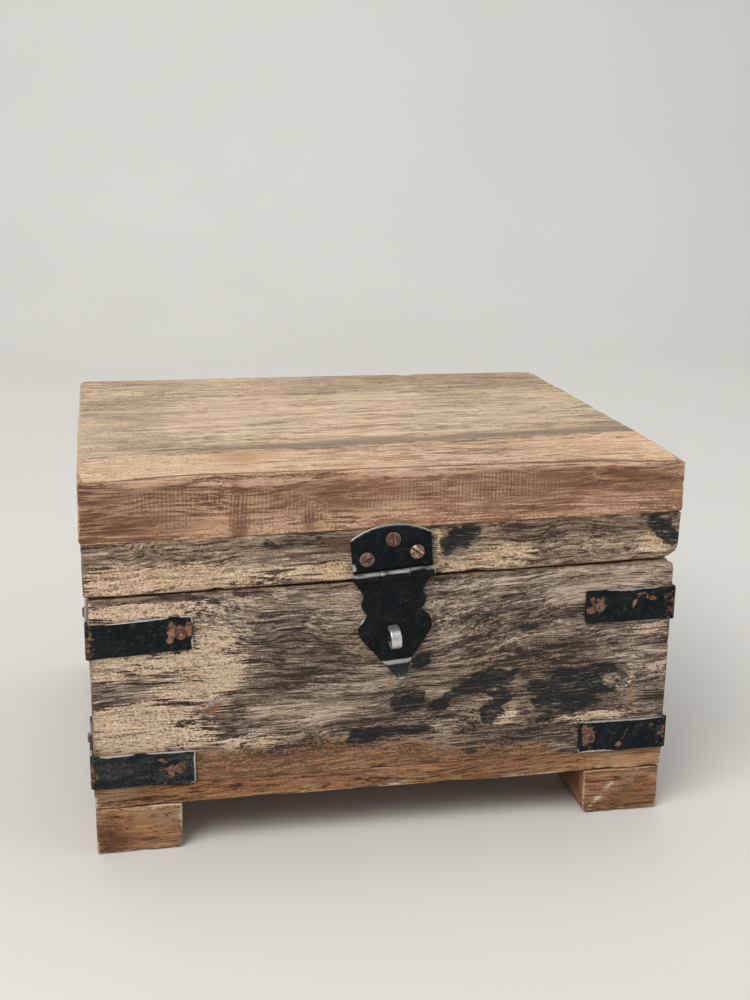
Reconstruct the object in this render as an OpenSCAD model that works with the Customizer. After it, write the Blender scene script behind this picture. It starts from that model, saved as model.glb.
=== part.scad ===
// A small footed storage box of reclaimed hardwood, closed by an iron hasp.
// Millimetres. X runs to the right, Y to the back and Z up.
// The origin is under the middle of the box, on the surface that the feet stand on.
// The box was glued up closed and then sawn apart on a slanted line, so the lid rim and
// the walls below it are the same boards, and all of them follow that line.

/* [Walls] */
// Outside width over the walls
box_w = 250; // [225:1:300]
// Outside depth over the walls
box_d = 220; // [190:1:270]
// Thickness of the wall boards
wall_t = 15; // [11:0.5:20]
// Height of the walls below the saw cut, at the left end
body_h_left = 82.5; // [72:0.5:110]
// Height of the walls below the saw cut, at the right end
body_h_right = 88.5; // [76:0.5:112]
// Width of the saw cut between the lid and the walls
saw_cut = 0.5; // [0.3:0.1:1]

/* [Lid] */
// Height of the lid rim above the saw cut, at the left end
rim_h_left = 23; // [20:0.5:32]
// Height of the lid rim above the saw cut, at the right end
rim_h_right = 21; // [18:0.5:30]
// Thickness of the top planks at the left end
plank_t = 27; // [18:0.5:34]
// Reach of the planks past the walls at each end
plank_over = 1; // [0:0.1:1.2]
// Width of the front plank at the left end
front_plank_left = 36; // [30:1:62]
// Width of the front plank at the right end
front_plank_right = 58; // [45:1:68]
// Width of the back plank at the left end
back_plank_left = 57; // [40:1:62]
// Width of the back plank at the right end
back_plank_right = 48; // [38:1:62]
// Radius that wear has given the long top edges
edge_wear = 3; // [1:0.5:5]
// Radius of the back corners of the lid, seen from above
back_corner_r = 7; // [3:0.5:12]
// Radius of the worn lower right corner of the lid rim
rim_corner_r = 8; // [3:0.5:10]
// Radius of the worn upper right corner of the walls
wall_corner_r = 5; // [2:0.5:7]

/* [Base] */
// Thickness of the bottom board
bottom_t = 9.5; // [7:0.5:14]
// Height of the feet
foot_h = 21; // [12:0.5:40]
// Width and depth of a foot block
foot_w = 36; // [30:0.5:48]
// Distance of a foot from the outside of the walls
foot_inset = 0.2; // [0:0.1:3]
// Radius of the worn lower inner edge of a foot
foot_wear = 4.5; // [2:0.5:8]

/* [Corner straps] */
// Height of a strap
strap_h = 15; // [10:0.5:18]
// Thickness of the strap iron
strap_t = 1.2; // [0.8:0.1:2]
// Length of each leg of the left straps, from the corner
strap_leg_left = 42; // [30:1:55]
// Length of each leg of the right straps, from the corner
strap_leg_right = 40; // [30:1:55]
// Wood between the saw cut and the upper left straps
strap_drop_left = 9.5; // [6:0.5:20]
// Wood between the saw cut and the upper right straps
strap_drop_right = 12.5; // [8:0.5:22]
// Distance of a strap nail from the end of its leg
nail_inset = 7; // [5:0.5:12]
// Radius of a nail head
nail_head_r = 2.5; // [1.8:0.1:3.2]
// Height of a nail head
nail_head_h = 1.2; // [0.8:0.1:1.8]
// Radius of a nail
nail_r = 0.9; // [0.7:0.05:1.2]
// Length of a strap nail below its head
nail_len = 11; // [8:0.5:12]

/* [Hasp] */
// Place of the hasp to the right of the middle
hasp_x = 0.2; // [-12:0.1:12]
// Height of the hasp pin above the saw cut
hasp_up = 2.5; // [0:0.1:4]
// Lean of the hasp, its lower end to the right
hasp_tilt = 4.7; // [0:0.1:6]
// Thickness of the hasp sheet
sheet_t = 1.2; // [0.8:0.1:1.4]
// Half the width of the upper plate and of the hinge barrel
hasp_half_w = 17; // [15:0.5:20]
// Height of the upper plate at its corners, above the hinge pin
plate_corner_h = 16.5; // [15:0.5:18]
// Height of the upper plate at the top of its arch, above the hinge pin
plate_h = 21.5; // [20:0.5:24]
// Outer radius of the hinge barrel of the hasp
barrel_r = 2.15; // [2:0.05:2.5]
// Radius of the pin of the hasp
pin_r = 0.95; // [0.7:0.05:1.1]
// Width of the knuckle of the leaf
leaf_knuckle_w = 12.8; // [9:0.1:15]
// Place of the knuckle of the leaf, to the right of its middle
leaf_knuckle_x = -0.6; // [-1.5:0.1:1.5]
// Half the width of the leaf at its shoulders
shoulder_half_w = 16.4; // [14:0.1:18]
// Depth of the shoulders, where the leaf narrows first
shoulder_drop = 8.6; // [7:0.1:9.5]
// Half the width of the leaf at its notches
notch_half_w = 11.6; // [10.5:0.1:12.2]
// Depth of the notches below the pin
notch_drop = 17; // [16:0.1:18]
// Half the width of the leaf at its upper lobes
lobe_half_w = 13.4; // [12.6:0.1:14]
// Half the width of the leaf at its lower lobes
bulge_half_w = 15.6; // [14.5:0.1:17]
// Depth of the middle of the lower lobes below the pin
bulge_drop = 23.6; // [22.5:0.1:24.5]
// Length of the leaf below the pin
leaf_len = 47; // [45:0.5:52]
// Depth below the pin where the tip is bent out
bend_drop = 38.8; // [36:0.1:41]
// Angle of the bent tip
tip_angle = 22; // [10:1:30]
// Radius of the point of the leaf
tip_r = 1.8; // [1.2:0.1:2.4]

/* [Staple] */
// Place of the staple beside the middle of the leaf
staple_x = -0.8; // [-1.5:0.1:1.5]
// Depth of the middle of the staple below the pin
staple_drop = 26.2; // [25:0.1:28]
// Width of the staple band
staple_w = 4.5; // [3.5:0.1:5]
// Thickness of the staple band
staple_t = 1.5; // [1:0.1:1.8]
// Outside height of the staple
staple_h = 9; // [8:0.1:10]
// Reach of the staple out of the wood
staple_reach = 8.6; // [8:0.1:10]
// Length of the staple legs in the wood
staple_leg = 11; // [7:0.5:12]
// Width of the slot in the leaf
slot_w = 5.6; // [5.4:0.1:6.2]
// Height of the slot in the leaf
slot_h = 11.6; // [11:0.1:12.4]

/* [Lid hinges] */
// Distance from the end of a back strap to the nearer end of a lid hinge
hinge_from_strap = 6; // [1:0.5:12]
// Length of a hinge along its pin
hinge_len = 32; // [26:0.5:40]
// Height of each hinge leaf from the pin
hinge_leaf_h = 14; // [12:0.5:15]
// Thickness of the hinge leaves
hinge_t = 1.2; // [0.8:0.1:1.5]
// Outer radius of the hinge knuckles
knuckle_r = 2.5; // [2.2:0.1:3]
// Radius of the hinge pins
hinge_pin_r = 1.2; // [0.9:0.05:1.4]

/* [Screws and hidden nails] */
// Radius of a screw head
screw_head_r = 3.1; // [2.4:0.1:3.4]
// Height of a screw head
screw_head_h = 1.5; // [1:0.1:1.6]
// Radius of a screw
screw_r = 1.4; // [1:0.1:1.6]
// Length of a screw below its head
screw_len = 11; // [7:0.5:12]
// Width of the slot in a screw head
screw_slot_w = 0.8; // [0.5:0.1:1]
// Length of the nails that hold the bottom board, below their heads
bottom_nail_len = 24; // [18:0.5:32]
// Depth that a foot nail is sunk in the sole
foot_nail_sink = 2; // [1:0.5:4]
// Distance between the two nails of a foot, along X and along Y
foot_nail_gap = 14; // [8:0.5:18]

/* [Fits] */
// Gap between a pin and the knuckle that turns on it
turn_gap = 0.05; // [0.03:0.01:0.1]
// Gap between pieces that are driven or screwed together
seat_gap = 0.05; // [0.02:0.01:0.15]
// Gap between the ends of neighbouring knuckles
knuckle_gap = 0.2; // [0.1:0.05:0.4]
// Gap between a turning knuckle and the wood
swing_gap = 0.3; // [0.25:0.05:0.6]
// Gap between the closed leaf and the wood
leaf_gap = 0.2; // [0.1:0.05:0.22]

/* [Hidden] */
$fn = 48;

// Colours as the photograph shows them
top_brown = "#a3805b";
lid_red = "#8a5a43";
wall_brown = "#7d6450";
base_red = "#96593a";
iron_black = "#1d2125";
bright_steel = "#c9ccd0";
copper_brown = "#9a6248";

// How far a cutter reaches past what it cuts
past = 1;
// Angle between two square edges
square_corner = 90;

// The hinge line lies outside the back wall, and the box is centred over hasp and hinges
hinge_out = knuckle_r + swing_gap;
back_reach = hinge_out + knuckle_r;
front_y = staple_reach - (staple_reach + box_d + back_reach) / 2;
back_y = front_y + box_d;
right_x = box_w / 2;
left_x = -right_x;

// Levels from the floor up
floor_z = foot_h + bottom_t;
split_slope = (body_h_right - body_h_left) / box_w;
split_tilt = atan(split_slope);
seam_slope = (body_h_right + rim_h_right - body_h_left - rim_h_left) / box_w;
top_z = floor_z + body_h_left + rim_h_left + plank_t;
function split_z(x) = floor_z + body_h_left + (x - left_x) * split_slope;
function seam_z(x) = floor_z + body_h_left + rim_h_left + (x - left_x) * seam_slope;
function wall_top(x) = split_z(x) - saw_cut / 2;
function rim_bottom(x) = split_z(x) + saw_cut / 2;

// Lid planks
lid_right_x = right_x + plank_over;
lid_left_x = -lid_right_x;
front_seam = [front_y + front_plank_left, front_y + front_plank_right];
back_seam = [back_y - back_plank_left, back_y - back_plank_right];

// Hasp and staple, in the hasp's own frame: its pin is at height 0, the wood at depth 0
hasp_pin_z = split_z(hasp_x) + hasp_up;
hasp_out = barrel_r + swing_gap;
leaf_back = -leaf_gap;
leaf_top = -(barrel_r + swing_gap);
knuckle_from = leaf_knuckle_x - leaf_knuckle_w / 2;
knuckle_to = leaf_knuckle_x + leaf_knuckle_w / 2;
// Screws of the upper plate: beside the middle, above the pin, and the angle of the slot
hasp_screw_spots = [[1.0, 15, 90], [-10.4, 7.6, 20], [10.6, 8.4, -40]];
arch_r = (pow(hasp_half_w, 2) + pow(plate_h - plate_corner_h, 2)) / (2 * (plate_h - plate_corner_h));
// Radii of the round lobes on each side of the leaf
lobe_r = 4.6;
bulge_r = 6.6;
// Where the straight lower edges leave the lower lobes
bulge_end_angle = 35;
// The peened ends of the pins
peen_h = 0.5;
peen_over = 0.35;

// Lid hinges
hinge_x = right_x - max(strap_leg_left, strap_leg_right) - hinge_from_strap - hinge_len / 2;
knuckle_count = 5;
knuckle_pitch = hinge_len / knuckle_count;
// Middle of a hinge screw from the end and from the outer edge of its leaf
hinge_screw_end = 7;
hinge_screw_edge = 5;
hinge_screw_x = hinge_len / 2 - hinge_screw_end;
hinge_screw_z = hinge_leaf_h - hinge_screw_edge;
// Angles of the slots of the hinge screws, as the hand left them: by hinge and by end
hinge_turn = 30;
end_turn = 25;
// Share of a screw head that is a straight rim, and of its radius that stays flat on top
head_rim = 0.4;
head_flat = 0.55;
// Wood screws and nails end in a point of this length
point_len = 2.5;

// Corners with straps: the side in X and the side in Y
strap_corners = [[-1, -1], [1, -1], [-1, 1], [1, 1]];
function strap_leg(side) = side < 0 ? strap_leg_left : strap_leg_right;
strap_low_z = floor_z;
function strap_up_z(side) =
    split_z(side * right_x) - strap_h - (side < 0 ? strap_drop_left : strap_drop_right);

// Spots of the nails under the bottom board, in the middle of the walls
bottom_nail_xs = [-box_w / 4, 0, box_w / 4];
bottom_nail_ys = [-box_d / 5, box_d / 5];
mid_y = (front_y + back_y) / 2;
// Wood left over the point of a foot nail
foot_nail_cover = 2;
foot_nail_len = foot_h - foot_nail_sink + bottom_t - foot_nail_cover;

// The tools of the shapes

// Extrudes a shape drawn in X and Z along Y, from y on, over a depth
module along_y(y, depth) {
    translate([0, y + depth, 0]) rotate([90, 0, 0]) linear_extrude(depth) children();
}

// Extrudes a shape drawn in Y and Z along X, from x on, over a length
module along_x(x, length) {
    translate([x, 0, 0]) rotate([90, 0, 90]) linear_extrude(length) children();
}

// What wear takes off a corner between two edges, given by their directions
module worn_corner(at, edge_a, edge_b, r) {
    half = abs(edge_b - edge_a) / 2;
    mid = (edge_a + edge_b) / 2;
    center = at + r / sin(half) * [cos(mid), sin(mid)];
    touch_a = at + r / tan(half) * [cos(edge_a), sin(edge_a)];
    touch_b = at + r / tan(half) * [cos(edge_b), sin(edge_b)];
    difference() {
        polygon([
            center, touch_a, touch_a + past * (touch_a - center) / r,
            at + (at - center), touch_b + past * (touch_b - center) / r, touch_b
        ]);
        translate(center) circle(r);
    }
}

// A wooden wall piece seen from the front, between two heights given at both ends
module wall_face(x_from, x_to, low_from, low_to, high_from, high_to) {
    polygon([[x_from, low_from], [x_to, low_to], [x_to, high_to], [x_from, high_from]]);
}

// Runs along the pin of the hasp, with the wood at y = 0 and the pin at z = 0
module at_hasp() {
    translate([hasp_x, front_y, hasp_pin_z]) rotate([0, -hasp_tilt, 0]) children();
}

// Runs along the pins of the lid hinges, with the back wall at y = 0
module at_hinges() {
    translate([0, back_y, split_z(0)]) rotate([0, -split_tilt, 0]) children();
}

// A round bar along X, from x on
module bar_x(x, length, r) {
    translate([x, 0, 0]) rotate([0, 90, 0]) cylinder(h = length, r = r);
}

// Puts a screw or nail that points down -Z so that it points along a direction
module pointing(direction) {
    turn = direction == "back" ? [90, 0, 0] :
        direction == "front" ? [-90, 0, 0] :
        direction == "right" ? [0, -90, 0] :
        direction == "left" ? [0, 90, 0] : [180, 0, 0];
    rotate(turn) children();
}

// A fastener on its seat at z = 0, with its shank down
module fastener(head_r, head_h, r, length) {
    cylinder(h = head_h * head_rim, r = head_r);
    translate([0, 0, head_h * head_rim])
        cylinder(h = head_h * (1 - head_rim), r1 = head_r, r2 = head_r * head_flat);
    translate([0, 0, -(length - point_len)]) cylinder(h = length - point_len, r = r);
    translate([0, 0, -length]) cylinder(h = point_len, r1 = r * head_flat, r2 = r);
}

// The hole that a fastener's shank needs, from a little above its seat down
module shank_hole(r, length) {
    translate([0, 0, -length - seat_gap]) cylinder(h = length + seat_gap + past * 2, r = r + seat_gap);
}

module strap_nail() {
    fastener(nail_head_r, nail_head_h, nail_r, nail_len);
}

module wood_screw(slot_angle) {
    difference() {
        fastener(screw_head_r, screw_head_h, screw_r, screw_len);
        rotate([0, 0, slot_angle]) translate([-screw_head_r - past, -screw_slot_w / 2, screw_head_h / 2])
            cube([2 * (screw_head_r + past), screw_slot_w, screw_head_h]);
    }
}

// Runs over every strap nail: the seat is on the strap, the shank goes into the wood
module each_strap_nail() {
    for (corner = strap_corners) {
        leg = strap_leg(corner[0]);
        for (low = [strap_low_z, strap_up_z(corner[0])]) {
            nail_z = low + strap_h / 2;
            face_y = corner[1] < 0 ? front_y - strap_t : back_y + strap_t;
            wall_y = corner[1] < 0 ? front_y : back_y;
            translate([corner[0] * (right_x - leg + nail_inset), face_y, nail_z])
                pointing(corner[1] < 0 ? "back" : "front") children();
            translate([
                corner[0] * (right_x + strap_t),
                wall_y - corner[1] * (leg - nail_inset),
                nail_z
            ]) pointing(corner[0] < 0 ? "right" : "left") children();
        }
    }
}

module strap_nail_holes() {
    each_strap_nail() shank_hole(nail_r, nail_len);
}

// Runs over every nail under the bottom board, its seat on the board's underside
module each_bottom_nail() {
    for (x = bottom_nail_xs, y = [front_y + wall_t / 2, back_y - wall_t / 2])
        translate([x, y, foot_h]) pointing("up") children();
    for (x = [left_x + wall_t / 2, right_x - wall_t / 2], y = bottom_nail_ys)
        translate([x, mid_y + y, foot_h]) pointing("up") children();
}

module bottom_nail_holes() {
    each_bottom_nail() shank_hole(nail_r, bottom_nail_len);
}

// The middle of a foot, given by its side in X and in Y
function foot_x(side) = side * (right_x - foot_inset - foot_w / 2);
function foot_y(side) = mid_y + side * (box_d / 2 - foot_inset - foot_w / 2);

// Runs over the two nails of a foot, their seats sunk into the sole
module each_foot_nail(x_side, y_side) {
    for (end = [-1, 1])
        translate([
            foot_x(x_side) + end * x_side * foot_nail_gap / 2,
            foot_y(y_side) - end * y_side * foot_nail_gap / 2,
            foot_nail_sink
        ]) pointing("up") children();
}

module foot_nail_holes(x_side, y_side) {
    each_foot_nail(x_side, y_side) {
        shank_hole(nail_r, foot_nail_len);
        cylinder(h = foot_nail_sink + past, r = nail_head_r + seat_gap);
    }
}

// Runs over the screws of the upper hasp plate, their seats on the plate
module each_hasp_screw() {
    at_hasp() for (spot = hasp_screw_spots)
        translate([spot[0], -sheet_t, spot[1]]) pointing("back") rotate([0, 0, spot[2]]) children();
}

module hasp_screw_holes() {
    each_hasp_screw() shank_hole(screw_r, screw_len);
}

// Runs over the screws of one row of hinge leaves: 1 is the lid, -1 is the box
module each_hinge_screw(row) {
    at_hinges() for (hinge = [-1, 1], end = [-1, 1])
        translate([hinge * hinge_x + end * hinge_screw_x, hinge_t, row * hinge_screw_z])
            pointing("front") rotate([0, 0, hinge * hinge_turn + end * end_turn]) children();
}

module hinge_screw_holes(row) {
    each_hinge_screw(row) shank_hole(screw_r, screw_len);
}

// Lid planks

module plank_slab() {
    difference() {
        along_y(front_y, box_d) difference() {
            wall_face(
                lid_left_x, lid_right_x,
                seam_z(lid_left_x), seam_z(lid_right_x), top_z, top_z
            );
            worn_corner([lid_left_x, top_z], 0, -square_corner, edge_wear);
            worn_corner([lid_right_x, top_z], -2 * square_corner, -square_corner, edge_wear);
        }
        along_x(lid_left_x - past, 2 * (lid_right_x + past)) {
            worn_corner([front_y, top_z], 0, -square_corner, edge_wear);
            worn_corner([back_y, top_z], -2 * square_corner, -square_corner, edge_wear);
        }
        linear_extrude(top_z + past) {
            worn_corner([lid_left_x, back_y], 0, -square_corner, back_corner_r);
            worn_corner([lid_right_x, back_y], -2 * square_corner, -square_corner, back_corner_r);
        }
    }
}

// One plank of the lid, between two seams given at their left and right ends
module plank(front_line, back_line) {
    difference() {
        intersection() {
            plank_slab();
            linear_extrude(top_z + past) polygon([
                [lid_left_x - past, front_line[0]], [lid_right_x + past, front_line[1]],
                [lid_right_x + past, back_line[1]], [lid_left_x - past, back_line[0]]
            ]);
        }
        hasp_screw_holes();
    }
}

module top_plank_front() {
    color(lid_red) plank([front_y - past, front_y - past], front_seam);
}

module top_plank_middle() {
    color(top_brown) plank(front_seam, back_seam);
}

module top_plank_back() {
    color(top_brown) plank(back_seam, [back_y + past, back_y + past]);
}

// Lid rim

module rim_face(x_from, x_to) {
    wall_face(
        x_from, x_to, rim_bottom(x_from), rim_bottom(x_to), seam_z(x_from), seam_z(x_to)
    );
}

module long_rim_face() {
    difference() {
        rim_face(left_x, right_x);
        worn_corner(
            [right_x, rim_bottom(right_x)], square_corner, 2 * square_corner + split_tilt, rim_corner_r
        );
    }
}

module lid_front_rail() {
    color(wall_brown) difference() {
        along_y(front_y, wall_t) long_rim_face();
        hasp_screw_holes();
    }
}

module lid_back_rail() {
    color(wall_brown) difference() {
        along_y(back_y - wall_t, wall_t) long_rim_face();
        hinge_screw_holes(1);
    }
}

module lid_side_rail(x_from) {
    color(wall_brown) along_y(front_y + wall_t, box_d - 2 * wall_t) difference() {
        rim_face(x_from, x_from + wall_t);
        if (x_from > 0) worn_corner(
            [right_x, rim_bottom(right_x)], square_corner, 2 * square_corner + split_tilt, rim_corner_r
        );
    }
}

module lid_left_rail() {
    lid_side_rail(left_x);
}

module lid_right_rail() {
    lid_side_rail(right_x - wall_t);
}

// Walls of the box

module body_face(x_from, x_to) {
    difference() {
        wall_face(x_from, x_to, floor_z, floor_z, wall_top(x_from), wall_top(x_to));
        if (x_to > 0) worn_corner(
            [right_x, wall_top(right_x)],
            -square_corner, -2 * square_corner + split_tilt, wall_corner_r
        );
    }
}

module staple_sockets() {
    at_hasp() for (side = [-1, 1])
        translate([
            staple_x - staple_w / 2 - seat_gap,
            -past,
            -staple_drop + side * (staple_h - staple_t) / 2 - staple_t / 2 - seat_gap
        ]) cube([
            staple_w + 2 * seat_gap, staple_leg + seat_gap + past, staple_t + 2 * seat_gap
        ]);
}

module front_board() {
    color(wall_brown) difference() {
        along_y(front_y, wall_t) body_face(left_x, right_x);
        strap_nail_holes();
        bottom_nail_holes();
        staple_sockets();
    }
}

module back_board() {
    color(wall_brown) difference() {
        along_y(back_y - wall_t, wall_t) body_face(left_x, right_x);
        strap_nail_holes();
        bottom_nail_holes();
        hinge_screw_holes(-1);
    }
}

module side_board(x_from) {
    color(wall_brown) difference() {
        along_y(front_y + wall_t, box_d - 2 * wall_t) body_face(x_from, x_from + wall_t);
        strap_nail_holes();
        bottom_nail_holes();
    }
}

module left_board() {
    side_board(left_x);
}

module right_board() {
    side_board(right_x - wall_t);
}

// Base

module bottom_board() {
    color(base_red) difference() {
        translate([left_x, front_y, foot_h]) cube([box_w, box_d, bottom_t]);
        bottom_nail_holes();
        for (x_side = [-1, 1], y_side = [-1, 1]) foot_nail_holes(x_side, y_side);
    }
}

// A block with its lower inner edges worn round, on one corner of the box
module foot(x_side, y_side) {
    inner_x = foot_x(x_side) - x_side * foot_w / 2;
    inner_y = foot_y(y_side) - y_side * foot_w / 2;
    outer_x = foot_x(x_side) + x_side * foot_w / 2;
    outer_y = foot_y(y_side) + y_side * foot_w / 2;
    color(base_red) difference() {
        translate([min(inner_x, outer_x), min(inner_y, outer_y), 0]) cube([foot_w, foot_w, foot_h]);
        along_y(min(inner_y, outer_y) - past, foot_w + 2 * past)
            worn_corner([inner_x, 0], square_corner, x_side > 0 ? 0 : 2 * square_corner, foot_wear);
        along_x(min(inner_x, outer_x) - past, foot_w + 2 * past)
            worn_corner([inner_y, 0], square_corner, y_side > 0 ? 0 : 2 * square_corner, foot_wear);
        foot_nail_holes(x_side, y_side);
    }
}

module front_left_foot() {
    foot(-1, -1);
}

module front_right_foot() {
    foot(1, -1);
}

module back_left_foot() {
    foot(-1, 1);
}

module back_right_foot() {
    foot(1, 1);
}

// Corner straps

// An iron strap bent round one upright corner, its bend following the corner of the wood
module strap(x_side, y_side, low) {
    corner_x = x_side * right_x;
    corner_y = y_side < 0 ? front_y : back_y;
    leg = strap_leg(x_side);
    color(iron_black) difference() {
        translate([corner_x, corner_y, low]) linear_extrude(strap_h) difference() {
            union() {
                circle(strap_t);
                translate([x_side > 0 ? -leg : 0, y_side > 0 ? 0 : -strap_t])
                    square([leg, strap_t]);
                translate([x_side > 0 ? 0 : -strap_t, y_side > 0 ? -leg : 0])
                    square([strap_t, leg]);
            }
            translate([x_side > 0 ? -leg - past : 0, y_side > 0 ? -leg - past : 0])
                square(leg + past);
        }
        strap_nail_holes();
    }
}

module front_left_strap_upper() {
    strap(-1, -1, strap_up_z(-1));
}

module front_right_strap_upper() {
    strap(1, -1, strap_up_z(1));
}

module back_left_strap_upper() {
    strap(-1, 1, strap_up_z(-1));
}

module back_right_strap_upper() {
    strap(1, 1, strap_up_z(1));
}

module front_left_strap_lower() {
    strap(-1, -1, strap_low_z);
}

module front_right_strap_lower() {
    strap(1, -1, strap_low_z);
}

module back_left_strap_lower() {
    strap(-1, 1, strap_low_z);
}

module back_right_strap_lower() {
    strap(1, 1, strap_low_z);
}

module strap_nails() {
    color(copper_brown) each_strap_nail() strap_nail();
}

module bottom_nails() {
    color(iron_black) each_bottom_nail() fastener(nail_head_r, nail_head_h, nail_r, bottom_nail_len);
}

module foot_nails() {
    color(iron_black) for (x_side = [-1, 1], y_side = [-1, 1])
        each_foot_nail(x_side, y_side) fastener(nail_head_r, nail_head_h, nail_r, foot_nail_len);
}

// Hasp

// The knuckle of a rolled sheet, on the pin of the hasp
module hasp_knuckle(x_from, x_to, bore_gap) {
    translate([0, -hasp_out, 0]) difference() {
        bar_x(x_from, x_to - x_from, barrel_r);
        bar_x(x_from - past, x_to - x_from + 2 * past, pin_r + bore_gap);
    }
}

// The arched upper plate, with a gap at its foot for the knuckle of the leaf
module plate_outline() {
    difference() {
        intersection() {
            translate([-hasp_half_w, 0]) square([2 * hasp_half_w, plate_h]);
            translate([0, plate_h - arch_r]) circle(arch_r, $fn = 180);
        }
        translate([knuckle_from - knuckle_gap, -past])
            square([leaf_knuckle_w + 2 * knuckle_gap, past + barrel_r + swing_gap]);
    }
}

module hasp_plate() {
    color(iron_black) difference() {
        at_hasp() {
            along_y(-sheet_t, sheet_t) plate_outline();
            hasp_knuckle(-hasp_half_w, knuckle_from - knuckle_gap, seat_gap);
            hasp_knuckle(knuckle_to + knuckle_gap, hasp_half_w, seat_gap);
        }
        hasp_screw_holes();
    }
}

// The leaf seen from the front: shoulders, notches, round lobes and a point, as cut from sheet
module leaf_outline() {
    bulge_x = bulge_half_w - bulge_r;
    lobe_x = lobe_half_w - lobe_r;
    lobe_drop = (shoulder_drop + notch_drop) / 2;
    tip_z = -(leaf_len - tip_r);
    side_x = bulge_x + bulge_r * cos(bulge_end_angle);
    side_z = -bulge_drop - bulge_r * sin(bulge_end_angle);
    difference() {
        union() {
            polygon([
                [-shoulder_half_w, leaf_top], [-notch_half_w, -shoulder_drop],
                [-notch_half_w, -notch_drop], [-side_x, side_z],
                [-tip_r * cos(bulge_end_angle), tip_z - tip_r * sin(bulge_end_angle)],
                [tip_r * cos(bulge_end_angle), tip_z - tip_r * sin(bulge_end_angle)],
                [side_x, side_z], [notch_half_w, -notch_drop],
                [notch_half_w, -shoulder_drop], [shoulder_half_w, leaf_top]
            ]);
            translate([knuckle_from, leaf_top - past]) square([leaf_knuckle_w, 2 * past - leaf_top]);
            for (side = [-1, 1]) {
                translate([side * lobe_x, -lobe_drop]) circle(lobe_r);
                translate([side * bulge_x, -bulge_drop]) circle(bulge_r);
            }
            translate([0, tip_z]) circle(tip_r);
        }
        staple_slot();
    }
}

module staple_slot() {
    for (side = [-1, 1])
        translate([staple_x, -staple_drop + side * (slot_h - slot_w) / 2]) circle(slot_w / 2);
    translate([staple_x - slot_w / 2, -staple_drop - (slot_h - slot_w) / 2])
        square([slot_w, slot_h - slot_w]);
}

// The leaf seen from its edge: straight down, then bent out to the tip
module leaf_profile() {
    tip_reach = leaf_len - bend_drop + past;
    out = [-sin(tip_angle), -cos(tip_angle)];
    across = [-cos(tip_angle), sin(tip_angle)];
    bend = [leaf_back, -bend_drop];
    polygon([
        [leaf_back, 0], bend, bend + tip_reach * out, bend + tip_reach * out + sheet_t * across,
        [leaf_back - sheet_t, -bend_drop + sheet_t * tan(tip_angle / 2)], [leaf_back - sheet_t, 0]
    ]);
}

module hasp_leaf() {
    color(iron_black) at_hasp() {
        intersection() {
            along_x(-hasp_half_w - past, 2 * (hasp_half_w + past)) leaf_profile();
            along_y(-staple_reach, staple_reach) leaf_outline();
        }
        hasp_knuckle(knuckle_from, knuckle_to, turn_gap);
    }
}

// A pin with both ends hammered over outside its barrel
module peened_pin(half_len, r) {
    bar_x(-half_len - peen_h / 2, 2 * half_len + peen_h, r);
    for (end = [-1, 1]) translate([end * (half_len + peen_h / 2 + seat_gap), 0, 0])
        bar_x(-peen_h / 2, peen_h, r + peen_over);
}

module hasp_pin() {
    color(iron_black) at_hasp() translate([0, -hasp_out, 0]) peened_pin(hasp_half_w, pin_r);
}

module hasp_screws() {
    color(copper_brown) each_hasp_screw() wood_screw(0);
}

// A bright band bent to a loop, with two straight legs driven into the wood
module staple() {
    loop_r = staple_h / 2;
    color(bright_steel) at_hasp() translate([staple_x - staple_w / 2, 0, -staple_drop])
        along_x(0, staple_w) {
            for (side = [-1, 1]) translate([-(staple_reach - loop_r), side * (loop_r - staple_t / 2) - staple_t / 2])
                square([staple_reach - loop_r + staple_leg, staple_t]);
            translate([-(staple_reach - loop_r), 0]) difference() {
                circle(loop_r);
                circle(loop_r - staple_t);
                translate([0, -loop_r - past]) square([loop_r + past, 2 * (loop_r + past)]);
            }
        }
}

// Lid hinges

// The knuckles of one leaf, numbered from the left, on the hinge pin
module hinge_knuckles(first, bore_gap) {
    translate([0, hinge_out, 0]) for (i = [first : 2 : knuckle_count - 1]) {
        from = -hinge_len / 2 + i * knuckle_pitch + knuckle_gap / 2;
        difference() {
            bar_x(from, knuckle_pitch - knuckle_gap, knuckle_r);
            bar_x(from - past, knuckle_pitch - knuckle_gap + 2 * past, hinge_pin_r + bore_gap);
        }
    }
}

// A hinge leaf drawn upwards from the pin, reaching it only at its own knuckles
module hinge_outline(first) {
    translate([-hinge_len / 2, hinge_out]) square([hinge_len, hinge_leaf_h - hinge_out]);
    for (i = [first : 2 : knuckle_count - 1])
        translate([-hinge_len / 2 + i * knuckle_pitch + knuckle_gap / 2, 0])
            square([knuckle_pitch - knuckle_gap, hinge_out + past]);
}

module lid_leaf(side) {
    color(iron_black) difference() {
        at_hinges() translate([side * hinge_x, 0, 0]) {
            along_y(0, hinge_t) hinge_outline(1);
            hinge_knuckles(1, turn_gap);
        }
        hinge_screw_holes(1);
    }
}

module box_leaf(side) {
    color(iron_black) difference() {
        at_hinges() translate([side * hinge_x, 0, 0]) {
            along_y(0, hinge_t) mirror([0, 1]) hinge_outline(0);
            hinge_knuckles(0, seat_gap);
        }
        hinge_screw_holes(-1);
    }
}

module hinge_pin(side) {
    color(iron_black) at_hinges() translate([side * hinge_x, hinge_out, 0])
        peened_pin(hinge_len / 2, hinge_pin_r);
}

module left_hinge_lid_leaf() {
    lid_leaf(-1);
}

module left_hinge_box_leaf() {
    box_leaf(-1);
}

module left_hinge_pin() {
    hinge_pin(-1);
}

module right_hinge_lid_leaf() {
    lid_leaf(1);
}

module right_hinge_box_leaf() {
    box_leaf(1);
}

module right_hinge_pin() {
    hinge_pin(1);
}

module lid_hinge_screws() {
    color(iron_black) each_hinge_screw(1) wood_screw(0);
}

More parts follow.
